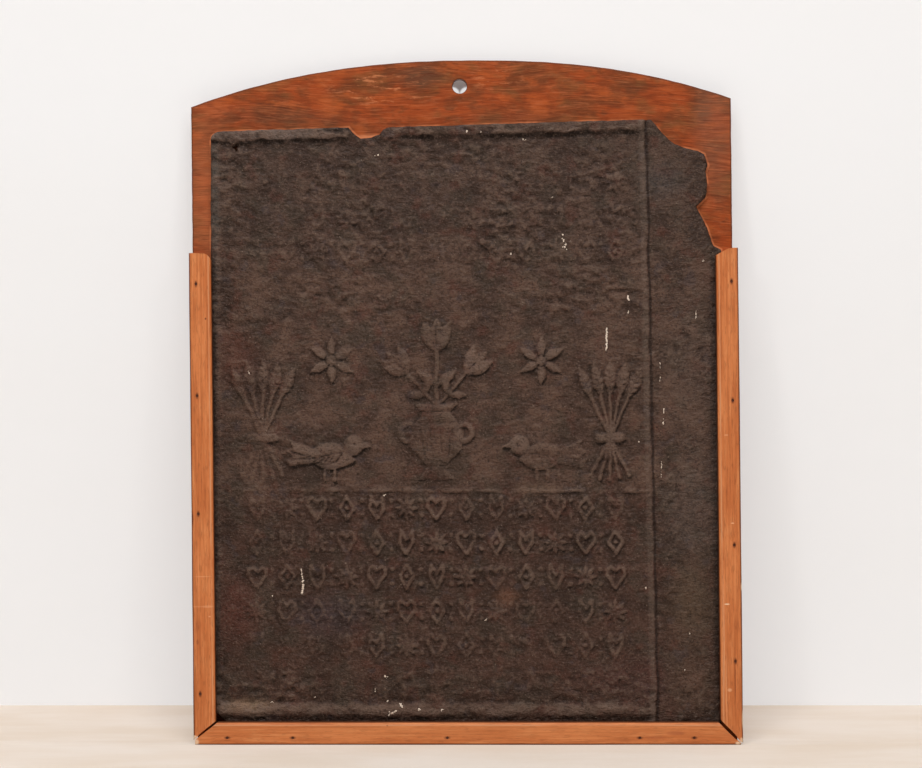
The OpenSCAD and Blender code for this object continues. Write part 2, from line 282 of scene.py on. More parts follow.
def grid_nearest(xs, zs, loop, reach):
    """Distance of a grid's points to a closed outline, up to a reach, and its nearest points."""
    best = np.full((len(zs), len(xs)), float(reach))
    near = np.zeros((2, len(zs), len(xs)))
    for a, b in zip(loop, np.roll(loop, -1, axis=0)):
        low, high = np.minimum(a, b) - reach, np.maximum(a, b) + reach
        part = np.ix_((zs > low[1]) & (zs < high[1]), (xs > low[0]) & (xs < high[0]))
        x, z = np.meshgrid(xs[part[1][0]], zs[part[0][:, 0]])
        run = b - a
        t = np.clip(((x - a[0]) * run[0] + (z - a[1]) * run[1]) / max(run @ run, 1e-9), 0, 1)
        px, pz = a[0] + t * run[0], a[1] + t * run[1]
        d = np.hypot(x - px, z - pz)
        closer = d < best[part]
        best[part] = np.where(closer, d, best[part])
        for axis, value in enumerate((px, pz)):
            near[axis][part] = np.where(closer, value, near[axis][part])
    return best, near[0], near[1]


# Relief shapes: each function gives the distance inside a shape, negative outside it

merged = np.maximum.reduce


def stroke(x, z, points, width):
    best = np.full(x.shape, 1e9)
    for (ax, az), (bx, bz) in zip(points, points[1:]):
        ux, uz = bx - ax, bz - az
        t = np.clip(((x - ax) * ux + (z - az) * uz) / (ux * ux + uz * uz), 0, 1)
        best = np.minimum(best, np.hypot(x - ax - t * ux, z - az - t * uz))
    return width / 2 - best


def disc(x, z, radius):
    return radius - np.hypot(x, z)


def ring(x, z, radius, width):
    return width / 2 - np.abs(np.hypot(x, z) - radius)


def leaf(x, z, length, width):
    t = z / length
    side = width / 2 * np.sin(np.pi * np.clip(t, 0, 1)) - np.abs(x)
    beyond = -np.hypot(x, z - np.clip(z, 0, length))
    return np.where((t > 0) & (t < 1), side, beyond)


def outline(x, z, points, width):
    """A line along a closed outline."""
    return stroke(x, z, points + points[:1], width)


def region(x, z, points):
    """The inside of a closed outline."""
    distance = -outline(x, z, points, 0)
    inside = np.zeros(x.shape, bool)
    for (ax, az), (bx, bz) in zip(points, points[1:] + points[:1]):
        if az != bz:
            inside ^= ((az > z) != (bz > z)) & (x < ax + (z - az) * (bx - ax) / (bz - az))
    return np.where(inside, distance, -distance)


def turned(x, z, degrees):
    """Coordinates of a shape that is turned anticlockwise."""
    c, s = math.cos(math.radians(degrees)), math.sin(math.radians(degrees))
    return c * x + s * z, c * z - s * x


def petals(x, z, angles, length, width):
    """Leaves that start from one point, each turned by its angle."""
    return merged([leaf(*turned(x, z, a), length, width) for a in angles])


def scaled(points, size):
    return [(u * size, v * size) for u, v in points]


def both_sides(half):
    """A closed outline, from its right half given from the bottom up."""
    return half + [(-u, v) for u, v in reversed(half) if u]


class Sheet:
    """Heights over a grid in the front view, on which shapes are raised or sunk."""

    def __init__(self, x, z):
        self.grid_x, self.grid_z = x, z
        self.x = x + 1.1 * bumps(x, z, 22, 301, 3)
        self.z = z + 1.1 * bumps(x, z, 22, 311, 3)
        self.h = np.zeros(x.shape)

    def near(self, shape, at, reach, flip):
        """The part of the grid round a place, and a shape drawn there in its own coordinates."""
        cx, cz = at
        rows = np.abs(self.grid_z[:, 0] - cz) < reach
        cols = np.abs(self.grid_x[0] - cx) < reach
        part = np.ix_(rows, cols)
        return part, shape((self.x[part] - cx) * flip, self.z[part] - cz)

    def raise_shape(self, shape, at, reach, height, soft=1.7, flip=1):
        part, inside = self.near(shape, at, reach, flip)
        crown = 0.75 + 0.25 * smooth_step(inside / 7)
        self.h[part] = np.maximum(
            self.h[part], height * crown * smooth_step(inside / soft + 0.5))

    def sink_shape(self, shape, at, reach, depth, soft=1.8, flip=1):
        part, inside = self.near(shape, at, reach, flip)
        self.h[part] -= depth * smooth_step(inside / soft + 0.5)


def flower(x, z, stem, head):
    """A stem with a pair of leaves and a tulip."""
    return merged([
        stroke(x, z, [(0, 0), (0, stem)], stem * 0.07),
        petals(x, z - stem * 0.35, (-50, 50), stem * 0.45, stem * 0.17),
        petals(x, z - stem * 0.95, (-24, 0, 24), head, head * 0.42),
    ])


VASE = both_sides([(0.24, 0), (0.11, 0.16), (0.33, 0.42), (0.36, 0.62), (0.18, 0.88), (0.29, 1)])
TAIL = [
    (0.18, 0.36), (0.82, 0.25), (0.9, 0.4), (0.78, 0.46),
    (0.9, 0.57), (0.75, 0.64), (0.82, 0.79), (0.15, 0.54),
]
BEAK = [(-0.61, 0.75), (-0.8, 0.65), (-0.6, 0.61)]


def vase_body(x, z):
    handles = [ring(x - s * 0.37 * VASE_H, z - 0.62 * VASE_H, 0.11 * VASE_H, 0.07 * VASE_H)
               for s in (-1, 1)]
    return merged([region(x, z, scaled(VASE, VASE_H)), *handles])


def bird_body(x, z):
    size = BIRD_LEN
    lean_x, lean_z = turned(x + 0.48 * size, z - 0.39 * size, -82)
    parts = [
        leaf(lean_x, lean_z, size, 0.54 * size),
        disc(x + 0.43 * size, z - 0.68 * size, 0.2 * size),
        region(x, z, scaled(BEAK, size)),
        region(x, z, scaled(TAIL, size)),
    ]
    for leg in (-0.075, 0.125):
        parts.append(stroke(x, z, [(leg * size, 0), (leg * size, 0.26 * size)], 0.06 * size))
    return merged(parts)


def bird_grooves(x, z):
    """The edge of the wing, the feathers on it, the eye and the parts of the tail."""
    size = BIRD_LEN
    wing = [(-0.22, 0.52), (-0.1, 0.34), (0.12, 0.3), (0.34, 0.38), (0.2, 0.46), (-0.02, 0.5)]
    parts = [outline(x, z, scaled(wing, size), 1.6)]
    for k in range(3):
        start, end = (-0.05 + 0.09 * k, 0.46 - 0.01 * k), (0.04 + 0.09 * k, 0.35 + 0.01 * k)
        parts.append(stroke(x, z, scaled([start, end], size), 1.4))
    for rise in (0.4, 0.58):
        parts.append(stroke(x, z, scaled([(0.3, 0.44), (0.84, rise)], size), 1.6))
    parts.append(disc(x + 0.47 * size, z - 0.71 * size, 1.6))
    return merged(parts)


def sheaf(x, z):
    """Stalks that spread above and below a tie, with an ear on each upper one."""
    size = SHEAF_H
    z = z - 0.35 * size
    parts = [stroke(x, z, [(-0.09 * size, 0), (0.09 * size, 0)], 0.08 * size)]
    for i in range(-2, 3):
        ear_x, ear_z = turned(x, z, -12 * i)
        parts.append(stroke(ear_x, ear_z, [(0, 0), (0, 0.4 * size)], 0.026 * size))
        parts.append(leaf(ear_x, ear_z - 0.35 * size, 0.3 * size, 0.1 * size))
        foot_x, foot_z = turned(x, z, 180 - 14 * i)
        parts.append(stroke(foot_x, foot_z, [(0, 0), (0, 0.35 * size)], 0.03 * size))
    return merged(parts)


def sheaf_grooves(x, z):
    """The rows of grain across each ear."""
    size = SHEAF_H
    z = z - 0.35 * size
    parts = []
    for i in range(-2, 3):
        ear_x, ear_z = turned(x, z, -12 * i)
        parts.append(stroke(ear_x, ear_z, [(0, 0.37 * size), (0, 0.62 * size)], 1.2))
        for k in range(5):
            at = (0.4 + 0.05 * k) * size
            for s in (-1, 1):
                parts.append(stroke(ear_x, ear_z, [(0, at), (s * 5, at + 3.4)], 1.1))
    return merged(parts)


def star(x, z):
    rays = petals(x, z, range(0, 360, 60), STAR_R, STAR_R * 0.36)
    return np.maximum(rays, disc(x, z, STAR_R * 0.2))


def add_picture(sheet):
    """The vase of tulips between birds, stars and sheaves."""
    centre = (FIELD_X, GROUND_Z)
    mouth = (FIELD_X, GROUND_Z + 0.97 * VASE_H)
    sheet.raise_shape(vase_body, centre, 110, RELIEF_H)
    ribs = [[(u * VASE_H, 0.3 * VASE_H), (u * 1.25 * VASE_H, 0.66 * VASE_H)]
            for u in (-0.16, -0.055, 0.055, 0.16)]
    bands = [[(-0.2 * VASE_H, v * VASE_H), (0.2 * VASE_H, v * VASE_H)] for v in (0.2, 0.76, 0.9)]
    sheet.sink_shape(
        lambda x, z: merged([stroke(x, z, line, 1.6) for line in ribs + bands]),
        centre, 110, 1.2)
    for turn, size in ((0, 1), (42, 0.8), (-42, 0.8)):
        head = HEAD_H * (1 if turn == 0 else 0.9)
        stem = STEM_LEN * size
        sheet.raise_shape(
            lambda x, z: flower(*turned(x, z, turn), stem, head), mouth, 120, RELIEF_H * 0.9)
        sheet.sink_shape(
            lambda x, z: stroke(*turned(x, z, turn), [(0, stem + 5), (0, stem + head - 8)], 1.6),
            mouth, 120, 1)
    for side in (-1, 1):
        facing = -side
        bird = (FIELD_X + side * BIRD_GAP / 2, GROUND_Z)
        sheet.raise_shape(bird_body, bird, 70, RELIEF_H, flip=-facing)
        sheet.sink_shape(bird_grooves, bird, 70, 1.1, flip=-facing)
        over = (bird[0], GROUND_Z + STAR_Z)
        sheet.raise_shape(star, over, 40, RELIEF_H * 0.9)
        sheet.sink_shape(lambda x, z: ring(x, z, STAR_R * 0.24, 1.6), over, 40, 0.9)
        grain = (FIELD_X + side * SHEAF_GAP / 2, GROUND_Z)
        sheet.raise_shape(sheaf, grain, 150, RELIEF_H, soft=2.2)
        sheet.sink_shape(sheaf_grooves, grain, 150, 0.9)


def lined(half):
    """An ornament that is a line round the outline with the given right half."""
    edge = scaled(both_sides(half), CELL_H)
    return lambda x, z: outline(x, z, edge, 4.4)


diamond = lined([(0, -0.47), (0.3, 0), (0, 0.47)])
small_tulip = lined([(0, -0.46), (0.28, 0), (0.25, 0.46), (0, 0.12)])
heart = lined([(0, -0.46), (0.36, 0.06), (0.35, 0.32), (0.19, 0.42), (0, 0.24)])


def lozenge(x, z):
    return np.maximum(diamond(x, z), disc(x, z, 2.8))


def rosette(x, z):
    return petals(x, z, range(0, 360, 45), CELL_H * 0.52, CELL_H * 0.2)


def pellet(x, z):
    return disc(x, z, 2.6)


ORNAMENTS = (lozenge, small_tulip, rosette, heart)


def add_row(sheet, z, turn, worn):
    """A row of ornaments, with a pair of pellets between each two."""
    start = FIELD_X - (ROW_CELLS - 1) * CELL_W / 2
    for i in range(ROW_CELLS):
        x = start + i * CELL_W
        sheet.raise_shape(ORNAMENTS[(i + turn) % 4], (x, z), 24, ROW_H * worn, soft=2)
        if i > 0:
            for rise in (-8, 8):
                sheet.raise_shape(
                    pellet, (x - CELL_W / 2, z + rise), 10, ROW_H * 0.8 * worn, soft=2)


# How much is left of each row, counted from the bottom one up and from the top one down
LOWER_WEAR = (0.3, 0.7, 0.85, 0.95, 1, 1)
UPPER_WEAR = (0.4, 0.45, 0.6)


def add_rows(sheet):
    for j, worn in enumerate(LOWER_WEAR):
        add_row(sheet, SEAT_Z + FIRST_ROW + j * ROW_PITCH, j, worn)
    for j, worn in enumerate(UPPER_WEAR):
        add_row(sheet, PLATE_TOP - LAST_ROW - j * ROW_PITCH, j + 2, worn)


def bead(offset, width, height):
    """Cross-section of a rounded bead, at a distance from its centre line."""
    return height * np.clip(1 - (2 * offset / width) ** 2, -1, 1)


def blurred(values, radius):
    """A soft average over a square of the given radius in grid steps."""
    for _ in range(3):
        for axis in (0, 1):
            wide = np.concatenate([
                np.repeat(np.take(values, [0], axis), radius, axis), values,
                np.repeat(np.take(values, [-1], axis), radius + 1, axis)], axis)
            total = np.cumsum(wide, axis)
            count = values.shape[axis]
            high = np.take(total, np.arange(2 * radius, 2 * radius + count), axis)
            low = np.take(total, np.arange(0, count), axis)
            values = (high - low) / (2 * radius)
    return values


def wavered(x, z):
    """Places shifted a little, so that straight features of the casting waver."""
    return x + 0.9 * bumps(x, z, 45, 31, 3), z + 1.1 * bumps(x, z, 45, 41, 3)


def past_rib(x, z):
    """How far a place lies right of the rib's middle, in millimetres."""
    wx, wz = wavered(x, z)
    return wx - flange_bead(wz)


def uneven(x, z, size, seed, middle, swing, least, most):
    """A factor that changes from place to place, kept between two limits."""
    return np.clip(middle + swing * bumps(x, z, size, seed, 2), least, most)


def plate_heights(x, z):
    """Height of the casting's face over the plane of its field, in millimetres."""
    sheet = Sheet(x, z)
    add_picture(sheet)
    add_rows(sheet)
    wear = uneven(x, z, 120, 21, middle=0.95, swing=0.5, least=0.35, most=1.1)
    wear *= 0.65 + 0.35 * smooth_step((x - FIELD_LEFT) / 110)
    relief = sheet.h * wear
    wx, wz = wavered(x, z)
    patchy = uneven(x, z, 34, 27, middle=0.55, swing=0.7, least=0.1, most=1)
    rule = stroke(wx, wz, [(FIELD_LEFT, RULE_Z), (FIELD_RIGHT, RULE_Z)], RULE_T + 1)
    relief = np.maximum(relief, RULE_H * patchy * smooth_step(rule / 2.6 + 0.5))
    past = past_rib(x, z)
    base = -FLANGE_DROP * smooth_step((past + 1) / 3)
    base = np.minimum(base, -FLANGE_DROP * smooth_step((BOTTOM_BEAD_Z - 3 - wz) / 9))
    in_field = smooth_step(-past / 3) * smooth_step((wz - BOTTOM_BEAD_Z) / 3)
    h = base + relief * in_field
    worn = uneven(x, z, 60, 101, middle=0.8, swing=0.5, least=0.15, most=1.1)
    at_notch = smooth_step(np.abs(x + HALF_PLATE - NOTCH_X) / 26 - 0.25)
    below_top = top_edge(wx) - wz
    along_top = uneven(x, z, 40, 105, middle=0.95, swing=0.4, least=0.65, most=1.15)
    top_rim = BEAD_H * along_top * at_notch * smooth_step((BEAD_W + 2 - below_top) / 6.5)
    left_rim = 0.5 * BEAD_H * worn * smooth_step((BEAD_W + 2 - wx - HALF_PLATE) / 9)
    left_rim *= smooth_step((wz - BOTTOM_BEAD_Z) / 4 + 1)
    low_bead = bead(wz - BOTTOM_BEAD_Z + 1.5, BEAD_W + 5, BEAD_H * (0.45 + 0.45 * worn))
    faint = uneven(x, z, 48, 121, middle=0.5, swing=0.7, least=0.05, most=1)
    rib = 0.35 * RIB_H * faint * smooth_step(1 + past / 11) * smooth_step(1.6 - past / 2)
    left_of_rib = smooth_step(1 - past / 5)
    for edge in (top_rim * left_of_rib, left_rim, low_bead * left_of_rib, rib):
        h = np.maximum(h, edge)
    h -= 0.45 * worn * smooth_step(1 - np.abs(below_top - BEAD_W - 4) / 8) * left_of_rib
    groove = uneven(x, z, 26, 141, middle=0.7, swing=0.7, least=0.1, most=1)
    h -= 1.3 * groove * smooth_step(1.2 - np.abs(past - RIB_W / 2) / 2.6)
    return h + casting_lumps(x, z, smooth_step(past / 6))


def casting_lumps(x, z, on_flange):
    """The uneven skin of the casting: wider than high in the field, slanting on the flange."""
    calm = uneven(x, z, 80, 111, middle=0.75, swing=0.5, least=0.35, most=1.2)
    calm *= 1 - 0.5 * (1 - on_flange) * smooth_step((GROUND_Z + 190 - z) / 40)
    below_rows = smooth_step((SEAT_Z + FIRST_ROW + 0.6 * ROW_PITCH - z) / 25)
    calm *= 1 + 1.1 * (1 - on_flange) * below_rows * smooth_step((z - SEAT_Z - 16) / 16)
    field = 1.3 * bumps(x / 1.7, z, 8.5, 61, 2) + 0.4 * bumps(x / 1.2, z, 4, 65, 1)
    slant_x, slant_z = turned(x, z, 28)
    flange = 0.6 * bumps(slant_x / 2, slant_z, 5.5, 75, 1) + 0.9 * bumps(x, z, 12, 77, 2)
    skin = field * (1 - on_flange) + flange * on_flange
    return 0.7 * bumps(x, z, 60, 51, 2) + calm * skin


def foot_slopes(h):
    """How steeply the face rises from each point towards its upper left: the material paints a
    shadow on such feet, as if lit from the upper left.
    """
    steepest = np.zeros(h.shape)
    for up, left in ((1, 0), (2, 1), (3, 1)):
        rise = np.roll(h, (-up, left), axis=(0, 1)) - h
        steepest = np.maximum(steepest, rise / (GRID * math.hypot(up, left)))
    return steepest


def filled(verts, loops, towards_front):
    """Triangles across flat loops of vertex numbers, the first one outside the others."""
    flat = [[Vector((verts[a][0], verts[a][2], 0)) for a in loop] for loop in loops]
    order = [a for loop in loops for a in loop]
    faces = []
    for tri in geometry.tessellate_polygon(flat):
        a, b, c = [order[k] for k in tri]
        (ax, _, az), (bx, _, bz), (cx, _, cz) = verts[a], verts[b], verts[c]
        to_front = (bx - ax) * (cz - az) > (bz - az) * (cx - ax)
        faces.append((a, b, c) if to_front == towards_front else (a, c, b))
    return faces


GRID = 1.42
DETAILED_BLOCKS = 11400
RIM_REACH = 6
RIM_ROUND = 2.6
STEEPEST_RIM = 0.96
BACK_CLEARANCE = 0.1
FAR_FROM_SEAM = 99


def corner_cells(keep):
    """The cells at the lower left, lower right, upper left and upper right of each grid point."""
    padded = np.pad(keep, 1)
    return padded[:-1, :-1], padded[:-1, 1:], padded[1:, :-1], padded[1:, 1:]


def fill_crossings(keep):
    """Adds the cells round each point at which two cells would touch only by their corners."""
    for _ in range(3):
        low_left, low_right, high_left, high_right = corner_cells(keep)
        crossing = low_left & high_right & ~low_right & ~high_left
        crossing |= low_right & high_left & ~low_left & ~high_right
        for j, i in zip(*np.nonzero(crossing)):
            keep[max(j - 1, 0):j + 1, max(i - 1, 0):i + 1] = True


def pick_blocks(h, keep):
    """Blocks of two by two cells: detailed ones, by the rim and where the face bends most, and
    plain ones, which become a single face."""
    four = keep.reshape(keep.shape[0] // 2, 2, keep.shape[1] // 2, 2)
    whole = four.all(axis=(1, 3))
    inner = whole.copy()
    for axis in (0, 1):
        for step in (-1, 1):
            inner &= np.roll(whole, step, axis)
    low_left, low_right = h[:-1:2, :-1:2], h[:-1:2, 2::2]
    high_left, high_right = h[2::2, :-1:2], h[2::2, 2::2]
    bend = np.abs(h[1::2, 1::2] - (low_left + low_right + high_left + high_right) / 4)
    bend += np.abs(h[1::2, :-1:2] - (low_left + high_left) / 2)
    bend += np.abs(h[:-1:2, 1::2] - (low_left + low_right) / 2)
    limit = np.sort(bend[inner])[-DETAILED_BLOCKS]
    plain = inner & (bend < limit)
    return four.any(axis=(1, 3)) & ~plain, plain


def face_polygons(index, cells, plain):
    """A quad for each cell, and a face for each plain block, with the points its neighbours have."""
    j, i = np.nonzero(cells)
    quads = np.stack([index[j, i], index[j, i + 1], index[j + 1, i + 1], index[j + 1, i]], axis=1)
    faces = quads.tolist()
    round_block = [(0, 0), (0, 1), (0, 2), (1, 2), (2, 2), (2, 1), (2, 0), (1, 0)]
    for j, i in zip(*np.nonzero(plain)):
        points = [int(index[2 * j + up, 2 * i + side]) for up, side in round_block]
        faces.append([a for a in points if a >= 0])
    return faces


def rim_of(faces):
    """Edges that only one face has, as a table of what follows each point."""
    sides = {(a, b): True for face in faces for a, b in zip(face, face[1:] + face[:1])}
    return {a: b for a, b in sides if (b, a) not in sides}


def closed_loops(follow):
    loops = []
    left = set(follow)
    while left:
        loop = [min(left)]
        while follow[loop[-1]] != loop[0]:
            loop.append(follow[loop[-1]])
        left -= set(loop)
        loops.append(loop)
    return loops


def make_plate():
    """The casting as one closed mesh: its worn face, its edge and its flat back."""
    margin = 4 * GRID
    top = top_edge(HALF_PLATE) + margin
    xs = np.arange(-HALF_PLATE - margin, HALF_PLATE + margin + 2 * GRID, GRID)
    zs = np.arange(SEAT_Z - margin, top + 2 * GRID, GRID)
    xs, zs = xs[:len(xs) // 2 * 2 - 1], zs[:len(zs) // 2 * 2 - 1]
    x, z = np.meshgrid(xs, zs)
    outer = roughened(plate_outline(), step=3, amount=0.55, seed=81)
    hole = roughened(blowhole_outline(), step=1, amount=0.2, seed=91)
    middles = xs[:-1] + GRID / 2, zs[:-1] + GRID / 2
    keep = grid_inside(*middles, outer) & ~grid_inside(*middles, hole)
    fill_crossings(keep)
    h = plate_heights(x, z)
    # Values the material reads: lift and hollow give painted shade low down and rubbed wear with a
    # painted highlight high up, under gives a painted shadow at feet below and right of raised
    # shapes, and seam places the groove's painted shade.
    layers = {
        "lift": (h - blurred(h, radius=2)) / 0.5,
        "hollow": (h - blurred(h, radius=14)) / 1.6,
        "under": foot_slopes(h),
        "seam": past_rib(x, z) - RIB_W / 2,
    }
    detailed, plain = pick_blocks(h, keep)
    cells = keep & detailed.repeat(2, 0).repeat(2, 1)

    around = np.sum(corner_cells(keep), axis=0)
    edge = (around > 0) & (around < 4)
    used = np.zeros(x.shape, bool)
    for up in (0, 1):
        for side in (0, 1):
            used[up:len(zs) - 1 + up, side:len(xs) - 1 + side] |= cells
            corners = used[::2, ::2]
            corners[up:len(plain) + up, side:plain.shape[1] + side] |= plain
    index = np.full(x.shape, -1)
    index[used] = np.arange(used.sum())

    distance_out, out_x, out_z = grid_nearest(xs, zs, outer, RIM_REACH)
    distance_hole, hole_x, hole_z = grid_nearest(xs, zs, hole, RIM_REACH)
    close = np.clip(1 - np.minimum(distance_out, distance_hole) / RIM_ROUND, 0, 1)
    close = np.where(edge, 1, close)
    h = h - RIM_ROUND * (1 - np.sqrt(1 - np.minimum(close, STEEPEST_RIM) ** 2))
    at_hole = edge & (distance_hole < distance_out)
    at_rim = edge & ~at_hole
    px = np.where(at_rim, out_x, np.where(at_hole, hole_x, x))
    pz = np.where(at_rim, out_z, np.where(at_hole, hole_z, z))

    front = np.stack([px[used], Y_PLATE - h[used], pz[used]], axis=1)
    faces = face_polygons(index, cells, plain)
    follow = rim_of(faces)
    back_of = {a: len(front) + k for k, a in enumerate(follow)}
    back = [(front[a][0], Y_BOARD - BACK_CLEARANCE, front[a][2]) for a in follow]
    faces += [(b, a, back_of[a], back_of[b]) for a, b in follow.items()]
    verts = front.tolist() + back
    loops = [[back_of[a] for a in loop] for loop in closed_loops(follow)]
    faces += filled(verts, loops, towards_front=False)

    piece = make_object("stove_plate_casting", verts, faces)
    for name, values in layers.items():
        behind = FAR_FROM_SEAM if name == "seam" else 0
        store(piece.data, name, np.concatenate([values[used], np.full(len(back), behind)]))
    piece.data.set_sharp_from_angle(angle=math.radians(60))
    return piece, (xs, zs, h)


# The board

def arch_z(x, half):
    drop = RIGHT_DROP if x > CROWN_X else LEFT_DROP
    return BOARD_TOP - drop * (abs(x - CROWN_X) / abs(half - CROWN_X)) ** ARCH_POWER


def board_outline():
    left = LEFT_CORNER + LEFT_OVERHANG
    right = RIGHT_CORNER - RIGHT_OVERHANG
    left_top = left - (BOARD_TOP - LEFT_DROP) * math.tan(LEAN)
    right_top = right - (BOARD_TOP - RIGHT_DROP) * math.tan(LEAN)
    points = [(left, 0), (right, 0)]
    steps = 60
    for k in range(steps + 1):
        x = right_top + (left_top - right_top) * k / steps
        points.append((x, arch_z(x, right_top if x > CROWN_X else left_top)))
    return points


def apply_modifiers(piece):
    """Leaves the modified mesh on the piece, without its modifiers."""
    evaluated = piece.evaluated_get(bpy.context.evaluated_depsgraph_get())
    mesh = bpy.data.meshes.new_from_object(evaluated)
    piece.modifiers.clear()
    piece.data = mesh


def cut(piece, tool):
    """Takes the tool's shape out of the piece."""
    change = piece.modifiers.new("cut", "BOOLEAN")
    change.operation = "DIFFERENCE"
    change.solver = "EXACT"
    change.object = tool
    apply_modifiers(piece)
    bpy.data.objects.remove(tool)


def rod(name, x, z, y0, y1, radius, steps):
    """A rod along Y."""
    verts, faces = [], []
    for y in (y0, y1):
        for k in range(steps):
            a = 2 * math.pi * k / steps
            verts.append((x + radius * math.cos(a), y, z + radius * math.sin(a)))
    for k in range(steps):
        n = (k + 1) % steps
        faces.append((n, k, steps + k, steps + n))
    faces.append(tuple(range(steps)))
    faces.append(tuple(reversed(range(steps, 2 * steps))))
    return make_object(name, verts, faces)


def inset(points, amounts):
    """An anticlockwise outline with each point moved inwards by its own amount."""
    before, after = points - np.roll(points, 1, axis=0), np.roll(points, -1, axis=0) - points
    normals = []
    for run in (before, after):
        run = run / np.maximum(np.hypot(*run.T), 1e-9)[:, None]
        normals.append(np.stack([-run[:, 1], run[:, 0]], axis=1))
    both = normals[0] + normals[1]
    both /= 1 + np.sum(normals[0] * normals[1], axis=1)[:, None]
    return points + both * np.asarray(amounts).reshape(-1, 1)


# The board's edge, as steps inwards from its outline and back from its face
EDGE_STEPS = [(4, 0), (1.6, 0), (0.8, 0.05), (0.25, 0.3), (0, 0.9)]
# The wood beside the casting is paler: fully up to the first distance, then less to the second
PALE_FULLY = 1.2
PALE_TO = 3.2


def make_board():
    """The arched plywood board with its eased edges and its hanging hole."""
    board = roughened(board_outline(), step=5, amount=0, seed=0)
    worn = np.clip(0.25 + 0.2 * bumps(board[:, 0], board[:, 1], 16, 131, 3), 0, 1)
    profile = [(cut_in, Y_BOARD + deep) for cut_in, deep in EDGE_STEPS]
    profile += [(cut_in, Y_BACK - deep) for cut_in, deep in reversed(EDGE_STEPS)]
    turns = [2 * math.pi * k / 48 for k in range(48)]
    verts, edge, faces = [], [], []

    def add_loop(points, y, cut_in):
        verts.extend((x, y, z) for x, z in points)
        edge.extend([cut_in] * len(points))
        return range(len(verts) - len(points), len(verts))

    def add_edge(points_at):
        """Joins a loop for each step of the profile, and returns the first and the last one."""
        loops = [add_loop(points_at(cut_in), y, cut_in) for cut_in, y in profile]
        for low, high in zip(loops, loops[1:]):
            for k in range(len(low)):
                n = (k + 1) % len(low)
                faces.append((low[n], low[k], high[k], high[n]))
        return loops[0], loops[-1]

    def hole_points(cut_in):
        r = HOLE_D / 2 + 0.4 * cut_in
        return [(-HOLE_X + r * math.cos(a), HOLE_Z - r * math.sin(a)) for a in turns]

    outer = add_edge(lambda cut_in: inset(board, worn + cut_in))
    hole = add_edge(hole_points)
    plate = roughened(plate_outline(), step=6, amount=0, seed=0)
    around = add_loop(inset(plate, -PALE_TO), Y_BOARD, EDGE_STEPS[0][0])
    under = add_loop(inset(plate, -PALE_FULLY), Y_BOARD, EDGE_STEPS[0][0])
    for k in range(len(plate)):
        n = (k + 1) % len(plate)
        faces.append((around[k], around[n], under[n], under[k]))
    faces += filled(verts, [outer[0], hole[0], around], towards_front=True)
    faces += filled(verts, [under], towards_front=True)
    faces += filled(verts, [outer[1], hole[1]], towards_front=False)
    piece = make_object("arched_board", verts, faces)
    store(piece.data, "edge", edge)
    store(piece.data, "beside", [k in under for k in range(len(verts))])
    piece.data.set_sharp_from_angle(angle=math.radians(60))
    return piece


# The strips

def strip_section():
    """The moulding's section: across from its outer edge and out from the board."""
    points = [(0, 0), (STRIP_W - REBATE_W, 0), (STRIP_W - REBATE_W, REBATE_D)]
    points += [(STRIP_W - 0.5, REBATE_D), (STRIP_W, REBATE_D + 0.5)]
    points += arc(STRIP_W - ARRIS_R, STRIP_T - ARRIS_R, ARRIS_R, 0, 90, 7)
    face_steps = 11
    for k in range(1, face_steps):
        points.append((STRIP_W - ARRIS_R - (STRIP_W - ARRIS_R - 1) * k / face_steps, STRIP_T))
    points += arc(0.9, STRIP_T - 0.9, 0.9, 90, 180, 3)
    for k in range(1, 6):
        points.append((0, (STRIP_T - 1) * (1 - k / 6)))
    return points


# Where the left, right and bottom strips begin, how far they are turned, and whether mirrored
STRIP_FRAMES = (
    (LEFT_CORNER, LEAN, False),
    (RIGHT_CORNER, LEAN, True),
    (RIGHT_CORNER, math.pi / 2, False),
)


def strip_place(strip_frame, across, along):
    """Where a point of a strip is in the front view."""
    origin, turn, mirrored = strip_frame
    side = -across if mirrored else across
    c, s = math.cos(turn), math.sin(turn)
    return origin + side * c - along * s, side * s + along * c


def make_strip(name, strip_frame, start, end, seed):
    """A length of moulding. start and end give where it begins and ends at a distance across."""
    section = strip_section()
    stations = 180
    ring_size = len(section)
    verts = []
    for s in range(stations + 1):
        for across, out in section:
            along = start(across) + (end(across) - start(across)) * s / stations
            wave = 0.25 * perlin(along, across + 40, 90, seed)
            dent = 0.12 * perlin(along, across, 16, seed + 1)
            depth = out - max(0, dent + 0.1) if out > REBATE_D else out
            side = across + max(0, wave + 0.15) if across < 1 else across
            x, z = strip_place(strip_frame, side, along)
            verts.append((x, Y_BOARD - depth, z))
    faces = []
    for s in range(stations):
        for k in range(ring_size):
            a, b = s * ring_size + k, s * ring_size + (k + 1) % ring_size
            faces.append((a, b, b + ring_size, a + ring_size))
    faces.append(tuple(reversed(range(ring_size))))
    faces.append(tuple(range(stations * ring_size, (stations + 1) * ring_size)))
    mirrored = strip_frame[2]
    if not mirrored:
        faces = [tuple(reversed(face)) for face in faces]
    return make_object(name, verts, faces)


def store_grain(piece, origin, turn, mirrored):
    """Keeps each point's place in its strip: across it, out from the board and along it."""
    mesh = piece.data
    points = np.empty(3 * len(mesh.vertices))
    mesh.vertices.foreach_get("co", points)
    x, y, z = points.reshape(-1, 3).T
    x = x - origin * MM
    across = x * math.cos(turn) + z * math.sin(turn)
    along = z * math.cos(turn) - x * math.sin(turn)
    place = [-across if mirrored else across, Y_BOARD * MM - y, along]
    store(mesh, "grain_place", np.stack(place, axis=1))


def rounded_end(length, radius):
    """An upper end whose inner corner is rounded off."""
    def end(across):
        past = max(0, across - (STRIP_W - radius))
        return length - radius + math.sqrt(max(radius ** 2 - past ** 2, 0.3))
    return end


def slanted_end(length):
    """An upper end with a slanting cut across it."""
    def end(across):
        past = max(0, across - (STRIP_W - END_CUT_W)) / END_CUT_W
        return length - END_CUT_H * past
    return end


LEFT_TOE = 5.6
LEFT_BLUNT = 1.6
RIGHT_BLUNT = 2.8


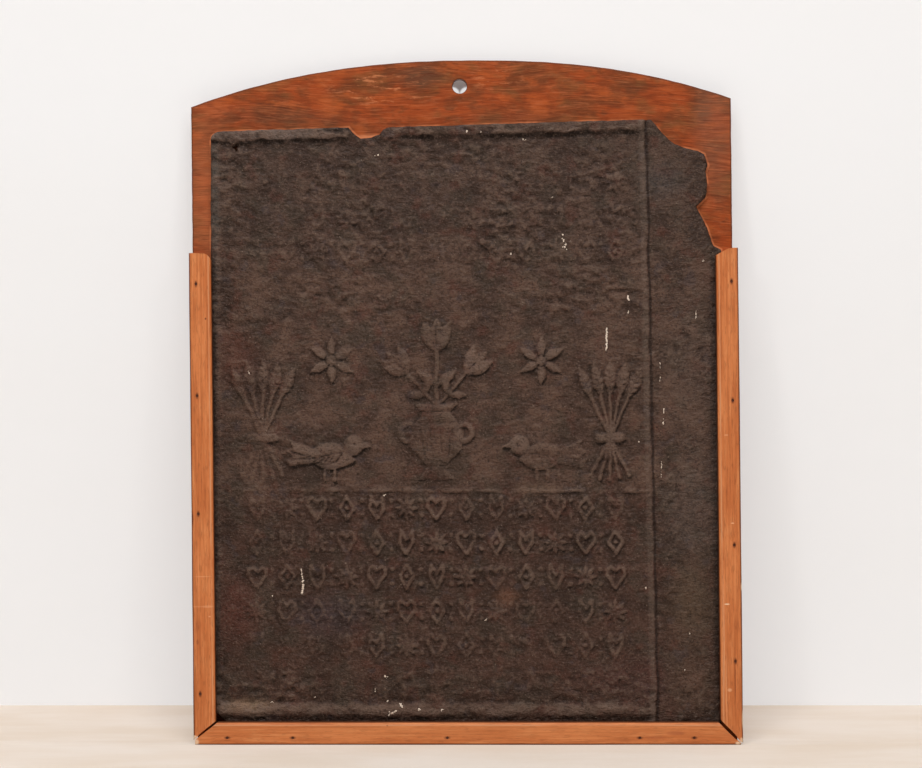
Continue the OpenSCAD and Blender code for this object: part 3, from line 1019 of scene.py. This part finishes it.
def opening(gap, across):
    """How far a mitred end stays back from its joint, which almost closes at the outer corner."""
    return gap / math.sqrt(2) * (0.05 + 1.1 * float(smooth_step((across - 1) / 9)))


def side_mitre(gap, toe, blunt, sign=1):
    """Where a side strip begins: on a line from the toe's height outside to the inner corner."""
    c, s = math.cos(LEAN), math.sin(LEAN) * sign
    slope = 1 - toe / STRIP_W

    def start(across):
        line = toe + across * (slope * c - s) + opening(gap, across)
        return max(blunt, line / (c + slope * s))
    return start


def bottom_mitre(gap, toe, blunt):
    """How far from its corner the bottom strip ends, along the same line."""
    slope = STRIP_W / (STRIP_W - toe)
    return lambda across: max(blunt, (across - toe) * slope + opening(gap, across))


def make_strips():
    left_end = bottom_mitre(LEFT_MITRE_GAP, LEFT_TOE, LEFT_BLUNT)
    return (
        make_strip("left_moulding", STRIP_FRAMES[0],
                   side_mitre(LEFT_MITRE_GAP, LEFT_TOE, 0), rounded_end(LEFT_LEN, END_ROUND), 401),
        make_strip("right_moulding", STRIP_FRAMES[1],
                   side_mitre(RIGHT_MITRE_GAP, 0, RIGHT_BLUNT, -1), slanted_end(RIGHT_LEN), 411),
        make_strip("bottom_moulding", STRIP_FRAMES[2],
                   bottom_mitre(RIGHT_MITRE_GAP, 0, RIGHT_BLUNT),
                   lambda across: BOTTOM_LEN - left_end(across), 421),
    )


# Materials

class Shader:
    """A material's nodes, with short calls for the kinds used here."""

    def __init__(self, name):
        self.material = bpy.data.materials.new(name)
        self.material.use_nodes = True
        self.links = self.material.node_tree.links
        self.nodes = self.material.node_tree.nodes
        self.nodes.clear()
        self.surface = self.node("BsdfPrincipled")
        self.output = self.node("OutputMaterial", {0: self.surface.outputs[0]})

    def feed(self, node, values):
        """Sets or links inputs, given by number or name. Those given as None stay as they are."""
        for key, value in values.items():
            if isinstance(value, bpy.types.NodeSocket):
                self.links.new(value, node.inputs[key])
            elif value is not None:
                node.inputs[key].default_value = value

    def node(self, kind, values=None, **settings):
        node = self.nodes.new("ShaderNode" + kind)
        for name, setting in settings.items():
            setattr(node, name, setting)
        self.feed(node, values or {})
        return node

    def place(self):
        """The point in the shared frame, in metres."""
        return self.node("TexCoord").outputs["Object"]

    def attribute(self, name, output="Fac"):
        return self.node("Attribute", attribute_name=name).outputs[output]

    def split(self, vector):
        return self.node("SeparateXYZ", {0: vector}).outputs

    def join(self, x, y, z):
        return self.node("CombineXYZ", {0: x, 1: y, 2: z}).outputs[0]

    def stretched(self, vector, scale):
        return self.node("VectorMath", {0: vector, 1: scale}, operation="MULTIPLY").outputs[0]

    def moved(self, vector, offset):
        return self.node("VectorMath", {0: vector, 1: offset}, operation="ADD").outputs[0]

    def math(self, operation, a, b=None, clamp=False):
        return self.node("Math", {0: a, 1: b}, operation=operation, use_clamp=clamp).outputs[0]

    def times(self, a, b):
        return self.math("MULTIPLY", a, b)

    def noise(self, vector, size, detail=2.0, rough=0.5, twist=0.0):
        """Noise with lumps of a size in metres."""
        return self.node("TexNoise", {
            "Vector": vector, "Scale": 1 / size, "Detail": detail, "Roughness": rough,
            "Distortion": twist}).outputs["Fac"]

    def grain(self, vector, scale, detail, rough, offset=None, twist=0.0):
        """Noise with its own scale along each axis, taken from a place further off."""
        if offset:
            vector = self.moved(vector, offset)
        return self.noise(self.stretched(vector, scale), 1.0, detail, rough, twist)

    def spread(self, value, low, high, to_low=0.0, to_high=1.0):
        """The value's range, set to another one and clamped."""
        return self.node("MapRange", {
            "Value": value, "From Min": low, "From Max": high, "To Min": to_low,
            "To Max": to_high}, interpolation_type="SMOOTHSTEP").outputs["Result"]

    def spot(self, vector, centre, size, soft):
        """1 inside an ellipsoid with its centre and half sizes in millimetres, falling softly
        to 0 outside it."""
        moved = self.moved(vector, [-c * MM for c in centre])
        scaled_down = self.stretched(moved, [1 / (v * MM) for v in size])
        length = self.node("VectorMath", {0: scaled_down}, operation="LENGTH")
        return self.spread(length.outputs["Value"], 1 + soft, 1 - soft)

    def mix(self, factor, a, b):
        """A mix of two colours, each a socket or three screen values of 0 to 255."""
        a, b = [srgb(*c) if isinstance(c, tuple) else c for c in (a, b)]
        return self.node("Mix", {0: factor, 6: a, 7: b}, data_type="RGBA").outputs[2]

    def tints(self, colour, *steps):
        """The colour with others over it. Each step is a value, where on it the other colour
        begins and is full, its amount there, and the colour itself."""
        for value, low, high, amount, tint in steps:
            colour = self.mix(self.spread(value, low, high, 0, amount), colour, tint)
        return colour

    def stained_and_shaded(self, colour, place, stains_and_shade, level, depth, soft):
        """The colour under soft spots that lie at one level."""
        for x, z, half_x, half_z, tint, amount in stains_and_shade:
            spot = self.spot(place, (x, level, z), (half_x, depth, half_z), soft)
            colour = self.mix(self.times(spot, amount), colour, tint)
        return colour

    def blend(self, factor, a, b):
        """A mix of two shaders."""
        return self.node("MixShader", {0: factor, 1: a, 2: b}).outputs[0]

    def bump(self, height, distance, strength=1.0, before=None):
        return self.node("Bump", {
            "Strength": strength, "Distance": distance, "Height": height,
            "Normal": before}).outputs[0]

    def finish(self, colour, roughness, normal, shine, metal=0.0):
        self.feed(self.surface, {
            "Base Color": colour, "Roughness": roughness, "Normal": normal,
            "Specular IOR Level": shine, "Metallic": metal})
        return self.material


def srgb(r, g, b):
    """A colour given in screen values of 0 to 255, as the linear one that shaders use."""
    linear = [c / 3294.6 if c <= 10.3 else ((c / 255 + 0.055) / 1.055) ** 2.4 for c in (r, g, b)]
    return (*linear, 1)


def cast_iron():
    """Old bare cast iron: brown-grey, with painted shade in its hollows, at the feet of raised
    shapes and in the groove by the rib, and paler where it stands high: rubbed, with a painted
    highlight.
    """
    s = Shader("cast_iron")
    p = s.place()
    height = s.split(p)[2]
    tone = s.spread(s.noise(p, 0.035, 4, 0.6), 0.36, 0.64)
    colour = s.mix(tone, (61, 43, 34), (88, 65, 53))
    low = s.spread(height, (RULE_Z + 15) * MM, (RULE_Z - 25) * MM, 0, 0.9)
    colour = s.mix(low, colour, s.mix(tone, (50, 33, 24), (69, 46, 36)))
    high = s.spread(height, 0.49, 0.6, 0, 0.6)
    colour = s.mix(high, colour, s.mix(tone, (50, 36, 29), (69, 52, 43)))
    olive = s.noise(s.moved(p, (0.3, 0, 0.1)), 0.03, 3)
    red = s.noise(s.moved(p, (1.3, 0, 0.7)), 0.022, 3)
    blue = s.noise(s.moved(p, (2.3, 0, 0.2)), 0.018, 2)
    colour = s.tints(
        colour,
        (olive, 0.48, 0.64, 0.55, (58, 48, 38)),
        (red, 0.54, 0.7, 0.55, (80, 46, 35)),
        (blue, 0.6, 0.72, 0.5, (62, 52, 53)))
    colour = s.stained_and_shaded(colour, p, IRON_STAINS_AND_SHADE, Y_PLATE, 50, 0.8)
    lift, hollow, under, seam = [s.attribute(n) for n in ("lift", "hollow", "under", "seam")]
    skin = s.grain(p, (190, 200, 270), 3, 0.6)
    grain = s.noise(p, 0.0026, 3, 0.65)
    glint = s.noise(s.moved(p, (0.9, 0, 0.3)), 0.0021, 1)
    off_bead = s.math("ABSOLUTE", s.math("ADD", seam, 5.5))
    # Painted shade in hollows and at the feet of steps, a painted shadow below and right of raised
    # shapes, rubbed wear with a painted highlight on high ground, and a painted highlight along the
    # rib's crest.
    colour = s.tints(
        colour,
        (hollow, 0.1, -1, 0.4, (40, 24, 16)),
        (lift, -0.2, -1.4, 0.4, (34, 20, 12)),
        (under, 0.25, 0.75, 0.88, (24, 13, 7)),
        (hollow, 0.4, 1.3, 0.6, (106, 85, 73)),
        (lift, 0.1, 1.6, 0.36, (106, 85, 72)),
        (skin, 0.52, 0.7, 0.28, (98, 78, 66)),
        (skin, 0.48, 0.3, 0.32, (34, 22, 15)),
        (grain, 0.52, 0.72, 0.55, (98, 80, 70)),
        (grain, 0.48, 0.3, 0.6, (28, 17, 11)),
        (glint, 0.74, 0.8, 0.5, (140, 122, 108)),
        (off_bead, 4.5, 2, 0.22, (102, 86, 76)))
    # Painted shade in the groove right of the rib.
    groove_shade = s.times(s.spread(s.math("ABSOLUTE", seam), 1.7, 0.4),
                      s.spread(s.noise(p, 0.03, 2), 0.3, 0.5, 0.45, 0.8))
    colour = s.mix(groove_shade, colour, (36, 22, 16))
    roughness = s.spread(s.noise(p, 0.02, 3), 0.3, 0.7, 0.5, 0.64)
    fine = s.bump(s.noise(p, 0.0018, 2, 0.6), 0.0007, 0.7)
    return s.finish(colour, roughness, s.bump(skin, 0.003, 0.9, fine), 0.16)


def plywood():
    """Stained fir plywood: wild grain, stains, a paler line beside the casting and spots of painted
    shade on the faces, plies at the edges.
    """
    s = Shader("stained_plywood")
    p = s.place()
    edge = s.attribute("edge")
    x, y, z = s.split(p)
    drift = s.grain(p, (3.5, 1, 8), 2, 0.5).node.outputs["Color"]
    sway = s.times(s.math("SUBTRACT", s.split(drift)[0], 0.5), 0.05)
    flow = s.join(x, y, s.math("ADD", z, sway))
    patch = s.grain(p, (18, 30, 26), 3, 0.6, (0.21, 0, 0.4))
    colour = s.mix(s.spread(patch, 0.38, 0.6), (110, 56, 26), (150, 66, 26))
    glow = s.grain(p, (30, 30, 50), 3, 0.6, (0.7, 0, 0.2))
    olive = s.grain(p, (22, 30, 44), 3, 0.6, (0.5, 0, 0.9))
    colour = s.tints(
        colour,
        (glow, 0.5, 0.66, 0.7, (168, 80, 34)),
        (glow, 0.46, 0.32, 0.7, (100, 56, 30)),
        (olive, 0.5, 0.66, 0.55, (112, 72, 38)))
    colour = s.stained_and_shaded(colour, flow, BOARD_STAINS_AND_SHADE, Y_BOARD, 6, 0.7)
    fibre = s.grain(flow, (42, 200, 760), 3, 0.65)
    streak = s.grain(flow, (26, 80, 170), 3, 0.6)
    lines = s.math("SINE", s.times(s.grain(flow, (9, 30, 50), 1, 0.4), 60))
    colour = s.tints(
        colour,
        (lines, 0.1, 1, 0.25, (98, 38, 14)),
        (streak, 0.5, 0.7, 0.3, (168, 86, 44)),
        (streak, 0.48, 0.28, 0.35, (86, 38, 14)),
        (fibre, 0.52, 0.75, 0.5, (184, 104, 64)),
        (fibre, 0.48, 0.3, 0.5, (82, 34, 12)))
    rub = s.grain(p, (60, 80, 220), 4, 0.65, (0.1, 0, 0.6), 0.3)
    worn = s.math("MAXIMUM", s.spot(p, (-95, Y_BOARD, 724), (45, 6, 16), 0.8),
                  s.spot(p, (35, Y_BOARD, 735), (22, 6, 10), 0.8))
    rubbed = s.times(s.spread(rub, 0.52, 0.7), s.spread(worn, 0, 1, 0.12, 0.85))
    colour = s.mix(rubbed, colour, (206, 128, 84))
    pale_beside = s.times(s.spread(s.attribute("beside"), 0.1, 0.9),
                      s.spread(glow, 0.42, 0.6, 0.05, 0.6))
    colour = s.mix(pale_beside, colour, (220, 132, 86))
    colour = s.tints(colour, (edge, 2.4, 0.7, 0.65, (86, 45, 27)))
    ply = s.math("SINE", s.times(y, 2 * math.pi / (PLY_PITCH * MM)))
    sawn = s.mix(s.spread(ply, -0.2, 0.2), (96, 54, 32), (128, 76, 46))
    sawn = s.tints(sawn, (s.grain(p, (260, 900, 260), 3, 0.6), 0.35, 0.7, 0.5, (66, 36, 20)))
    colour = s.mix(s.spread(edge, 0.3, 0.1), colour, sawn)
    bump = s.bump(fibre, 0.0007, 0.5, s.bump(streak, 0.0008, 0.4))
    return s.finish(colour, s.spread(streak, 0.3, 0.7, 0.5, 0.66), bump, 0.12)


def strip_wood(name, marks):
    """Oiled pine with straight grain along the strip, a painted highlight along its inner arris,
    painted shade at its outer edge and on its lip, and the strip's own marks.
    """
    s = Shader(name)
    g = s.attribute("grain_place", "Vector")
    across, out = s.split(g)[:2]
    broad = s.grain(g, (70, 70, 14), 3, 0.55)
    blotch = s.grain(g, (60, 60, 34), 3, 0.6, (0.4, 0, 0.9))
    fibre = s.grain(g, (520, 520, 16), 4, 0.65)
    pore = s.grain(g, (800, 800, 80), 2, 0.6, (0.7, 0, 0.3))
    ring = s.math("SINE", s.math("ADD", s.times(across, 1700), s.times(broad, 9)))
    colour = s.mix(s.spread(broad, 0.35, 0.65), (202, 120, 68), (188, 105, 55))
    colour = s.tints(
        colour,
        (blotch, 0.52, 0.75, 0.6, (172, 90, 46)),
        (blotch, 0.45, 0.25, 0.5, (206, 134, 82)),
        (ring, 0, 1, 0.22, (150, 80, 38)),
        (fibre, 0.5, 0.68, 0.5, (150, 82, 42)),
        (fibre, 0.5, 0.32, 0.4, (220, 148, 94)),
        (pore, 0.55, 0.66, 0.4, (126, 68, 34)))
    face = s.spread(out, 0.0155, 0.0175)
    inner = (STRIP_W - ARRIS_R) * MM
    off_band = s.math("ABSOLUTE", s.math("SUBTRACT", across, inner + 0.0006))
    # A painted highlight along the inner arris, on the front face.
    arris_highlight = s.times(s.spread(off_band, 0.0011, 0.0003), s.spread(fibre, 0.4, 0.6, 0.1, 0.55))
    colour = s.mix(s.times(arris_highlight, face), colour, (212, 158, 118))
    # Painted shade along the strip's outer edge.
    colour = s.tints(colour, (across, 0.0021, 0.0009, 0.85, (84, 45, 26)))
    # Painted shade on the lip's inner side, over its darker wood.
    lip_shade = s.times(s.spread(across, inner + 0.002, inner + 0.0038), s.spread(out, 0.0192, 0.0168))
    colour = s.mix(lip_shade, colour, (84, 42, 20))
    colour = s.stained_and_shaded(colour, g, marks, STRIP_T, 4, 0.5)
    roughness = s.spread(fibre, 0.3, 0.7, 0.5, 0.62)
    return s.finish(colour, roughness, s.bump(fibre, 0.0004, 0.4), 0.22)


def nail_iron():
    """Dark rusty nail heads."""
    s = Shader("nail_iron")
    p = s.place()
    colour = s.mix(s.noise(p, 0.001, 2), (70, 32, 16), (104, 54, 32))
    bump = s.bump(s.noise(p, 0.0006, 2), 0.0002, 0.6)
    return s.finish(colour, 0.7, bump, 0.4, metal=0.1)


def lime():
    """Pale dried splashes."""
    s = Shader("lime_splash")
    p = s.place()
    colour = s.mix(s.noise(p, 0.0015, 2), (196, 170, 148), (238, 224, 208))
    bump = s.bump(s.noise(p, 0.0008, 2), 0.0003, 0.5)
    return s.finish(colour, 0.8, bump, 0.2)


def stage_material(name, colour, patch, size, glow):
    """A pale surface of the studio, clear from its back. Its front is seen partly unshaded, apart
    from the spot behind the hanging hole, which has painted shade with painted light low at both
    sides."""
    s = Shader(name)
    p = s.place()
    streaks = s.noise(s.stretched(p, (0.2, 1, 1)), size, 5, 0.6)
    tone = s.mix(s.spread(streaks, 0.3, 0.7), colour, patch)
    s.finish(tone, 0.8, s.bump(s.noise(p, size / 8, 2), 0.0004, 0.3), 0.2)
    light = s.node("Emission", {"Color": tone})
    path = s.node("LightPath")
    surface = s.node("NewGeometry")
    clear = s.node("BsdfTransparent")
    seen = s.math("ADD", path.outputs["Is Camera Ray"], s.math(
        "ADD", path.outputs["Is Glossy Ray"], path.outputs["Is Transmission Ray"]), clamp=True)
    # Painted shade on the wall behind the hanging hole, with painted light in two spots low at both
    # sides.
    hole = s.spot(p, (-HOLE_X, Y_BACK, HOLE_Z), (12, 50, 12), 0.1)
    hole_light_spots = [s.spot(p, (shift - HOLE_X, Y_BACK, HOLE_Z - 6.8), (8.5, 50, 8), 0.3)
           for shift in (-8.5, 8.5)]
    hole_shade = s.times(hole, s.spread(s.math("MAXIMUM", *hole_light_spots), 0.1, 0.9, 0.72, -0.6))
    glow = s.times(s.math("SUBTRACT", 1.0, hole_shade), glow)
    shown = s.blend(s.times(seen, glow), s.surface.outputs[0], light.outputs[0])
    shown = s.blend(surface.outputs["Backfacing"], shown, clear.outputs[0])
    s.feed(s.output, {0: shown})
    return s.material


def dress(piece, material, node):
    piece.data.materials.clear()
    piece.data.materials.append(material)
    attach(piece, "root")
    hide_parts(node)


# Small pale splashes on the casting, as (x, z, radius), and longer ones from end to end
DOTS = [
    (1.1, 676.5, 1.1), (16.6, 675.4, 0.7), (63, 667.7, 0.7), (66, 667.2, 0.5), (-97.2, 650, 1.1),
    (95.7, 603.6, 0.7), (49.7, 540.7, 0.9), (108.9, 548.4, 1.4), (-239.7, 409.2, 0.8),
    (191.1, 333, 0.8), (198.8, 171.8, 1), (22.1, 136.4, 0.8), (-90.5, 273.9, 1.1),
    (247.4, 121, 0.8), (241.9, 81.2, 0.8), (-89.4, 73.5, 1.2), (-86.6, 73.2, 0.6),
    (-100.5, 57.4, 0.9), (-86.7, 46.4, 1.1), (-72.2, 43.1, 1.2), (-70.5, 41.6, 0.8),
    (-81.7, 33.7, 1.2), (-84.5, 32.4, 0.7), (-51.9, 38.1, 1.2), (-26.5, 37.5, 1),
    (-166.8, 50.8, 0.8), (-214.3, 45.9, 0.7), (262.9, 533, 0.8), (-214, 163, 0.8),
    (108, 556, 1.1), (107, 562, 1), (110, 551, 1.2),
]
STREAKS = [
    ((155.4, 459), (155.6, 434.7), 1.3), ((-182.2, 192.4), (-180.8, 184.3), 0.9),
    ((-180.8, 184.3), (-179.7, 175.1), 1.2), ((-179.7, 175.1), (-181.4, 164.8), 1.7),
    ((214.6, 420.3), (214.5, 414.8), 0.7),
    ((214.6, 404.8), (214.3, 400.4), 0.7), ((218.7, 369.5), (218.6, 365.1), 0.8),
    ((218.2, 358.4), (218.1, 352.9), 1), ((216.4, 310.9), (216.3, 304.3), 0.7),
    ((215.7, 299.9), (215.6, 294.4), 0.6), ((254.3, 478.8), (254.2, 470), 0.8),
    ((179.4, 494.3), (179.6, 489.9), 1.3), ((179.7, 477.7), (179.5, 475.5), 0.9),
    ((-85.6, 30.6), (-80.6, 34.3), 1), ((-80.6, 33.2), (-77.3, 35.9), 1.3),
    ((-73, 44), (-70.4, 40), 1.2),
]


def make_splashes(relief):
    """Thin uneven flakes that lie on the casting's face."""
    xs, zs, heights = relief
    rng = np.random.default_rng(7)
    blobs = list(DOTS)
    for x, z, radius in DOTS:
        for shift in rng.normal(0, 1.2 * radius, (2, 2)):
            blobs.append((x + shift[0], z + shift[1], radius * rng.uniform(0.35, 0.75)))
    for (ax, az), (bx, bz), radius in STREAKS:
        count = round(math.hypot(bx - ax, bz - az) / 1.2)
        for k in range(count + 1):
            if rng.random() < 0.82:
                share = k / count
                blobs.append((ax + (bx - ax) * share + rng.normal(0, 0.25),
                              az + (bz - az) * share, radius * rng.uniform(0.45, 1)))
    verts, faces = [], []

    def on_face(x, z):
        i, j = int((x - xs[0]) / GRID), int((z - zs[0]) / GRID)
        u, v = (x - xs[i]) / GRID, (z - zs[j]) / GRID
        low = heights[j, i] * (1 - u) + heights[j, i + 1] * u
        high = heights[j + 1, i] * (1 - u) + heights[j + 1, i + 1] * u
        return (x, Y_PLATE - 0.12 - (low * (1 - v) + high * v), z)

    for x, z, radius in blobs:
        base, count = len(verts), 9
        verts.append(on_face(x, z))
        for k in range(count):
            a = 2 * math.pi * k / count
            r = radius * rng.uniform(0.6, 1.15)
            verts.append(on_face(x + r * math.cos(a), z + r * math.sin(a)))
        for k in range(count):
            faces.append((base, base + 1 + k, base + 1 + (k + 1) % count))
    piece = make_object("lime_splashes", verts, faces)
    shell = piece.modifiers.new("shell", "SOLIDIFY")
    shell.thickness = 0.35 * MM
    shell.offset = -1
    apply_modifiers(piece)
    return piece


# Stains and painted shade, as (x, z, half width, half height, colour, amount), in millimetres
IRON_STAINS_AND_SHADE = [
    (-255, 430, 22, 30, (84, 44, 32), 0.5),
    (-255, 148, 20, 30, (86, 42, 32), 0.5),
    (187, 70, 50, 22, (80, 48, 42), 0.5),
    (-150, 142, 32, 20, (52, 44, 50), 0.5),
    (217, 622, 20, 16, (66, 62, 60), 0.5),
    # A pale patch on the bottom bead: pale rust with a painted highlight.
    (-242, 41, 24, 7, (170, 140, 112), 0.4),
    # Paler along the top rim: rubbed, with a painted highlight.
    (-215, 672, 55, 6, (116, 99, 90), 0.6),
    (45, 161, 12, 8, (112, 76, 56), 0.6),
    (78, 281, 20, 6, (110, 88, 72), 0.5),
    (-278, 600, 5, 100, (84, 80, 74), 0.4),
    # Painted shadows of the strips' lips along the casting's left and right edges.
    (-278.5, 410, 4, 140, (30, 19, 13), 0.8),
    (-276.2, 160, 4, 150, (30, 19, 13), 0.8),
    (273.9, 410, 4, 140, (30, 19, 13), 0.8),
    (277.2, 160, 4, 150, (30, 19, 13), 0.8),
    (-142, 683, 24, 8, (22, 17, 13), 0.9),
    # Painted shade in the recess below the bottom bead.
    (0, 19, 270, 7, (64, 34, 18), 0.6),
    (250, 155, 22, 40, (92, 74, 57), 0.5),
    (250, 67, 24, 25, (88, 68, 54), 0.45),
    (247, 260, 26, 50, (90, 78, 70), 0.4),
    (245, 420, 26, 70, (92, 74, 64), 0.35),
]
BOARD_STAINS_AND_SHADE = [
    # Painted shade in the blowhole.
    (-256, 658, 8, 8, (16, 10, 6), 1),
    # Painted shade in the corner between the casting's rounded lower left corner and the strips.
    (-273, 22, 14, 12, (20, 12, 8), 1),
    (-284, 610, 20, 90, (178, 100, 62), 0.5),
    (-51, 739, 22, 10, (90, 62, 44), 0.65),
    (263, 706, 8, 20, (80, 60, 43), 0.75),
    # A paler line at the bottom of the notch, like the one beside the casting.
    (-107, 674, 15, 2.5, (224, 142, 98), 0.7),
    (275, 680, 20, 70, (128, 78, 56), 0.6),
    (190, 665, 7, 10, (98, 66, 50), 0.6),
    (-200, 690, 70, 12, (106, 62, 40), 0.5),
    (60, 690, 50, 10, (104, 60, 38), 0.45),
]
DARK = (92, 40, 18)
PALE = (226, 172, 128)
RAW = (236, 210, 176)


def nail_marks(places):
    """A dark stain round each nail, drawn out along the grain."""
    return [(NAIL_INSET, up, 1.5, 3.4, DARK, 0.8) for up in places]


# Marks of the strips, as (across, along, half width, half length, colour, amount), in millimetres
STRIP_MARKS = {
    "left_strip": nail_marks(LEFT_NAILS) + [
        (12, 185, 9, 0.6, PALE, 0.3), (17, 152, 6, 1.2, PALE, 0.35), (6, 152, 5, 0.8, PALE, 0.2),
        (18, 468.6, 0.9, 1.1, DARK, 0.9), (5.5, 113, 1.2, 3, DARK, 0.4),
        (1.5, 249, 0.9, 6, DARK, 0.7), (19, 141, 1.2, 0.8, PALE, 0.5), (1.5, 8.5, 2, 2, RAW, 0.6),
    ],
    "right_strip": nail_marks(RIGHT_NAILS) + [
        (16.5, 155, 2.6, 0.7, RAW, 0.8), (9.5, 244, 1.8, 0.7, PALE, 0.8),
        (14.5, 60.5, 2.2, 1.8, PALE, 0.6), (15.5, 341, 2.2, 0.9, PALE, 0.4),
        (0.4, 174, 0.7, 4, RAW, 0.7), (0.4, 28, 1, 9, RAW, 0.6), (8.5, 70, 0.4, 22, DARK, 0.9),
        (20, 120, 0.4, 60, PALE, 0.5), (18, 60, 0.4, 40, PALE, 0.35), (2, 5, 1.6, 3, RAW, 0.6),
    ],
    "bottom_strip": nail_marks(BOTTOM_NAILS) + [
        (13, 75, 2.2, 9, (142, 66, 40), 0.5), (8, 96, 1.6, 12, (150, 74, 44), 0.45),
        # The mark at 0.6 across is a painted shadow along the strip's lower edge.
        (21.2, 391.8, 0.9, 1, DARK, 0.6), (0.6, 300, 0.8, 200, DARK, 0.35),
        (2, 6, 1.6, 2.6, RAW, 0.7), (3, BOTTOM_LEN - 3, 3.4, 2.6, RAW, 0.6),
        (14, BOTTOM_LEN / 2, 9, 300, (206, 132, 80), 0.25),
    ],
}

plate, plate_relief = make_plate()
board = make_board()
strips = make_strips()
strip_nails = (LEFT_NAILS, RIGHT_NAILS, BOTTOM_NAILS)
for piece, strip_frame, nails in zip(strips, STRIP_FRAMES, strip_nails):
    for up in nails:
        x, z = strip_place(strip_frame, NAIL_INSET, up)
        cut(piece, rod("nail_tool", x, z, Y_FRONT - 1, Y_FRONT + NAIL_SET + NAIL_HEAD_T,
                       NAIL_HEAD_D / 2 + NAIL_PLAY, 16))
    piece.data.set_sharp_from_angle(angle=math.radians(40))
    store_grain(piece, *strip_frame)

dress(plate, cast_iron(), "stove_plate")
dress(board, plywood(), "backboard")
for piece, (node, marks) in zip(strips, STRIP_MARKS.items()):
    dress(piece, strip_wood(node + "_wood", marks), node)
splashes = make_splashes(plate_relief)
splashes.data.materials.append(lime())
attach(splashes, "root")

steel = nail_iron()
for node in STRIP_MARKS:
    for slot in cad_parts[node + "_nails"].material_slots:
        slot.material = steel


# The stage. The framed plate leans back against a white wall, and the camera looks square at
# it, so in the plate's own frame the table rises towards the wall and the wall leans over it.

STAGE_SLOPE = 0.173
STAGE_REACH = 2600
FOOT_Y = Y_BACK + BOARD_TOP * STAGE_SLOPE / (1 + STAGE_SLOPE ** 2)
FOOT_Z = (FOOT_Y - Y_BACK) * STAGE_SLOPE
TABLE_Y = -3200
TABLE_Z = (TABLE_Y - Y_FRONT) * STAGE_SLOPE
WALL_TOP = 2000


def backdrop(name, profile, material):
    """A wide surface that runs through the given points, each (y, z)."""
    corners = [(x, y, z) for y, z in profile for x in (-STAGE_REACH, STAGE_REACH)]
    faces = [(k, k + 1, k + 3, k + 2) for k in range(0, len(corners) - 2, 2)]
    piece = make_object(name, corners, faces, smooth=False)
    piece.data.materials.append(material)
    return piece


table_top = stage_material("pale_table", (226, 214, 203), (218, 202, 186), 0.06, 0.45)
white_wall = stage_material("white_wall", (245, 244, 244), (244, 242, 241), 0.5, 0.5)
backdrop("table", [(TABLE_Y, TABLE_Z), (Y_FRONT, 0), (Y_BACK, 0), (FOOT_Y, FOOT_Z)], table_top)
wall = backdrop("wall", [(FOOT_Y, FOOT_Z), (FOOT_Y - (WALL_TOP - FOOT_Z) * STAGE_SLOPE, WALL_TOP)],
                white_wall)
wall.visible_shadow = False  # the lamp behind it lights the back of the board


# Soft rectangular lamps, as name, place and size in metres, and power in watts
LAMPS = (
    ("overhead", (-0.19, -2.4, 3.95), (2.56, 1.28), 168),
    ("left_side", (-1.2, -2.4, 1.7), (0.3, 0.3), 8),
    ("right_side", (1.2, -2.4, 1.7), (0.3, 0.3), 8),
    ("behind", (0.3, 2.4, 0.35), (1.6, 0.5), 14),
)
LAMP_AIM = (0, 0, 0.35)
CAMERA_PLACE = (-0.0055, -2.616, 0.397)
CAMERA_LENS = 92.3
SENSOR_W = 36
ROOM_COLOUR = (1, 0.98, 0.96, 1)
ROOM_LIGHT = 0.21

scene = bpy.context.scene
for name, place, size, power in LAMPS:
    light = bpy.data.lights.new(name, "AREA")
    light.shape = "RECTANGLE"
    light.size, light.size_y = size
    light.energy = power
    piece = bpy.data.objects.new(name, light)
    piece.location = place
    aim = Vector(LAMP_AIM) - Vector(place)
    piece.rotation_euler = aim.to_track_quat("-Z", "Y").to_euler()
    scene.collection.objects.link(piece)

scene.world = bpy.data.worlds.new("room")
scene.world.use_nodes = True
room = scene.world.node_tree.nodes["Background"]
room.inputs["Color"].default_value = ROOM_COLOUR
room.inputs["Strength"].default_value = ROOM_LIGHT
scene.view_settings.view_transform = "Standard"

lens = bpy.data.cameras.new("camera")
lens.lens = CAMERA_LENS
lens.sensor_width = SENSOR_W
scene.camera = bpy.data.objects.new("camera", lens)
scene.camera.location = CAMERA_PLACE
scene.camera.rotation_euler = (math.pi / 2, 0, 0)
scene.collection.objects.link(scene.camera)
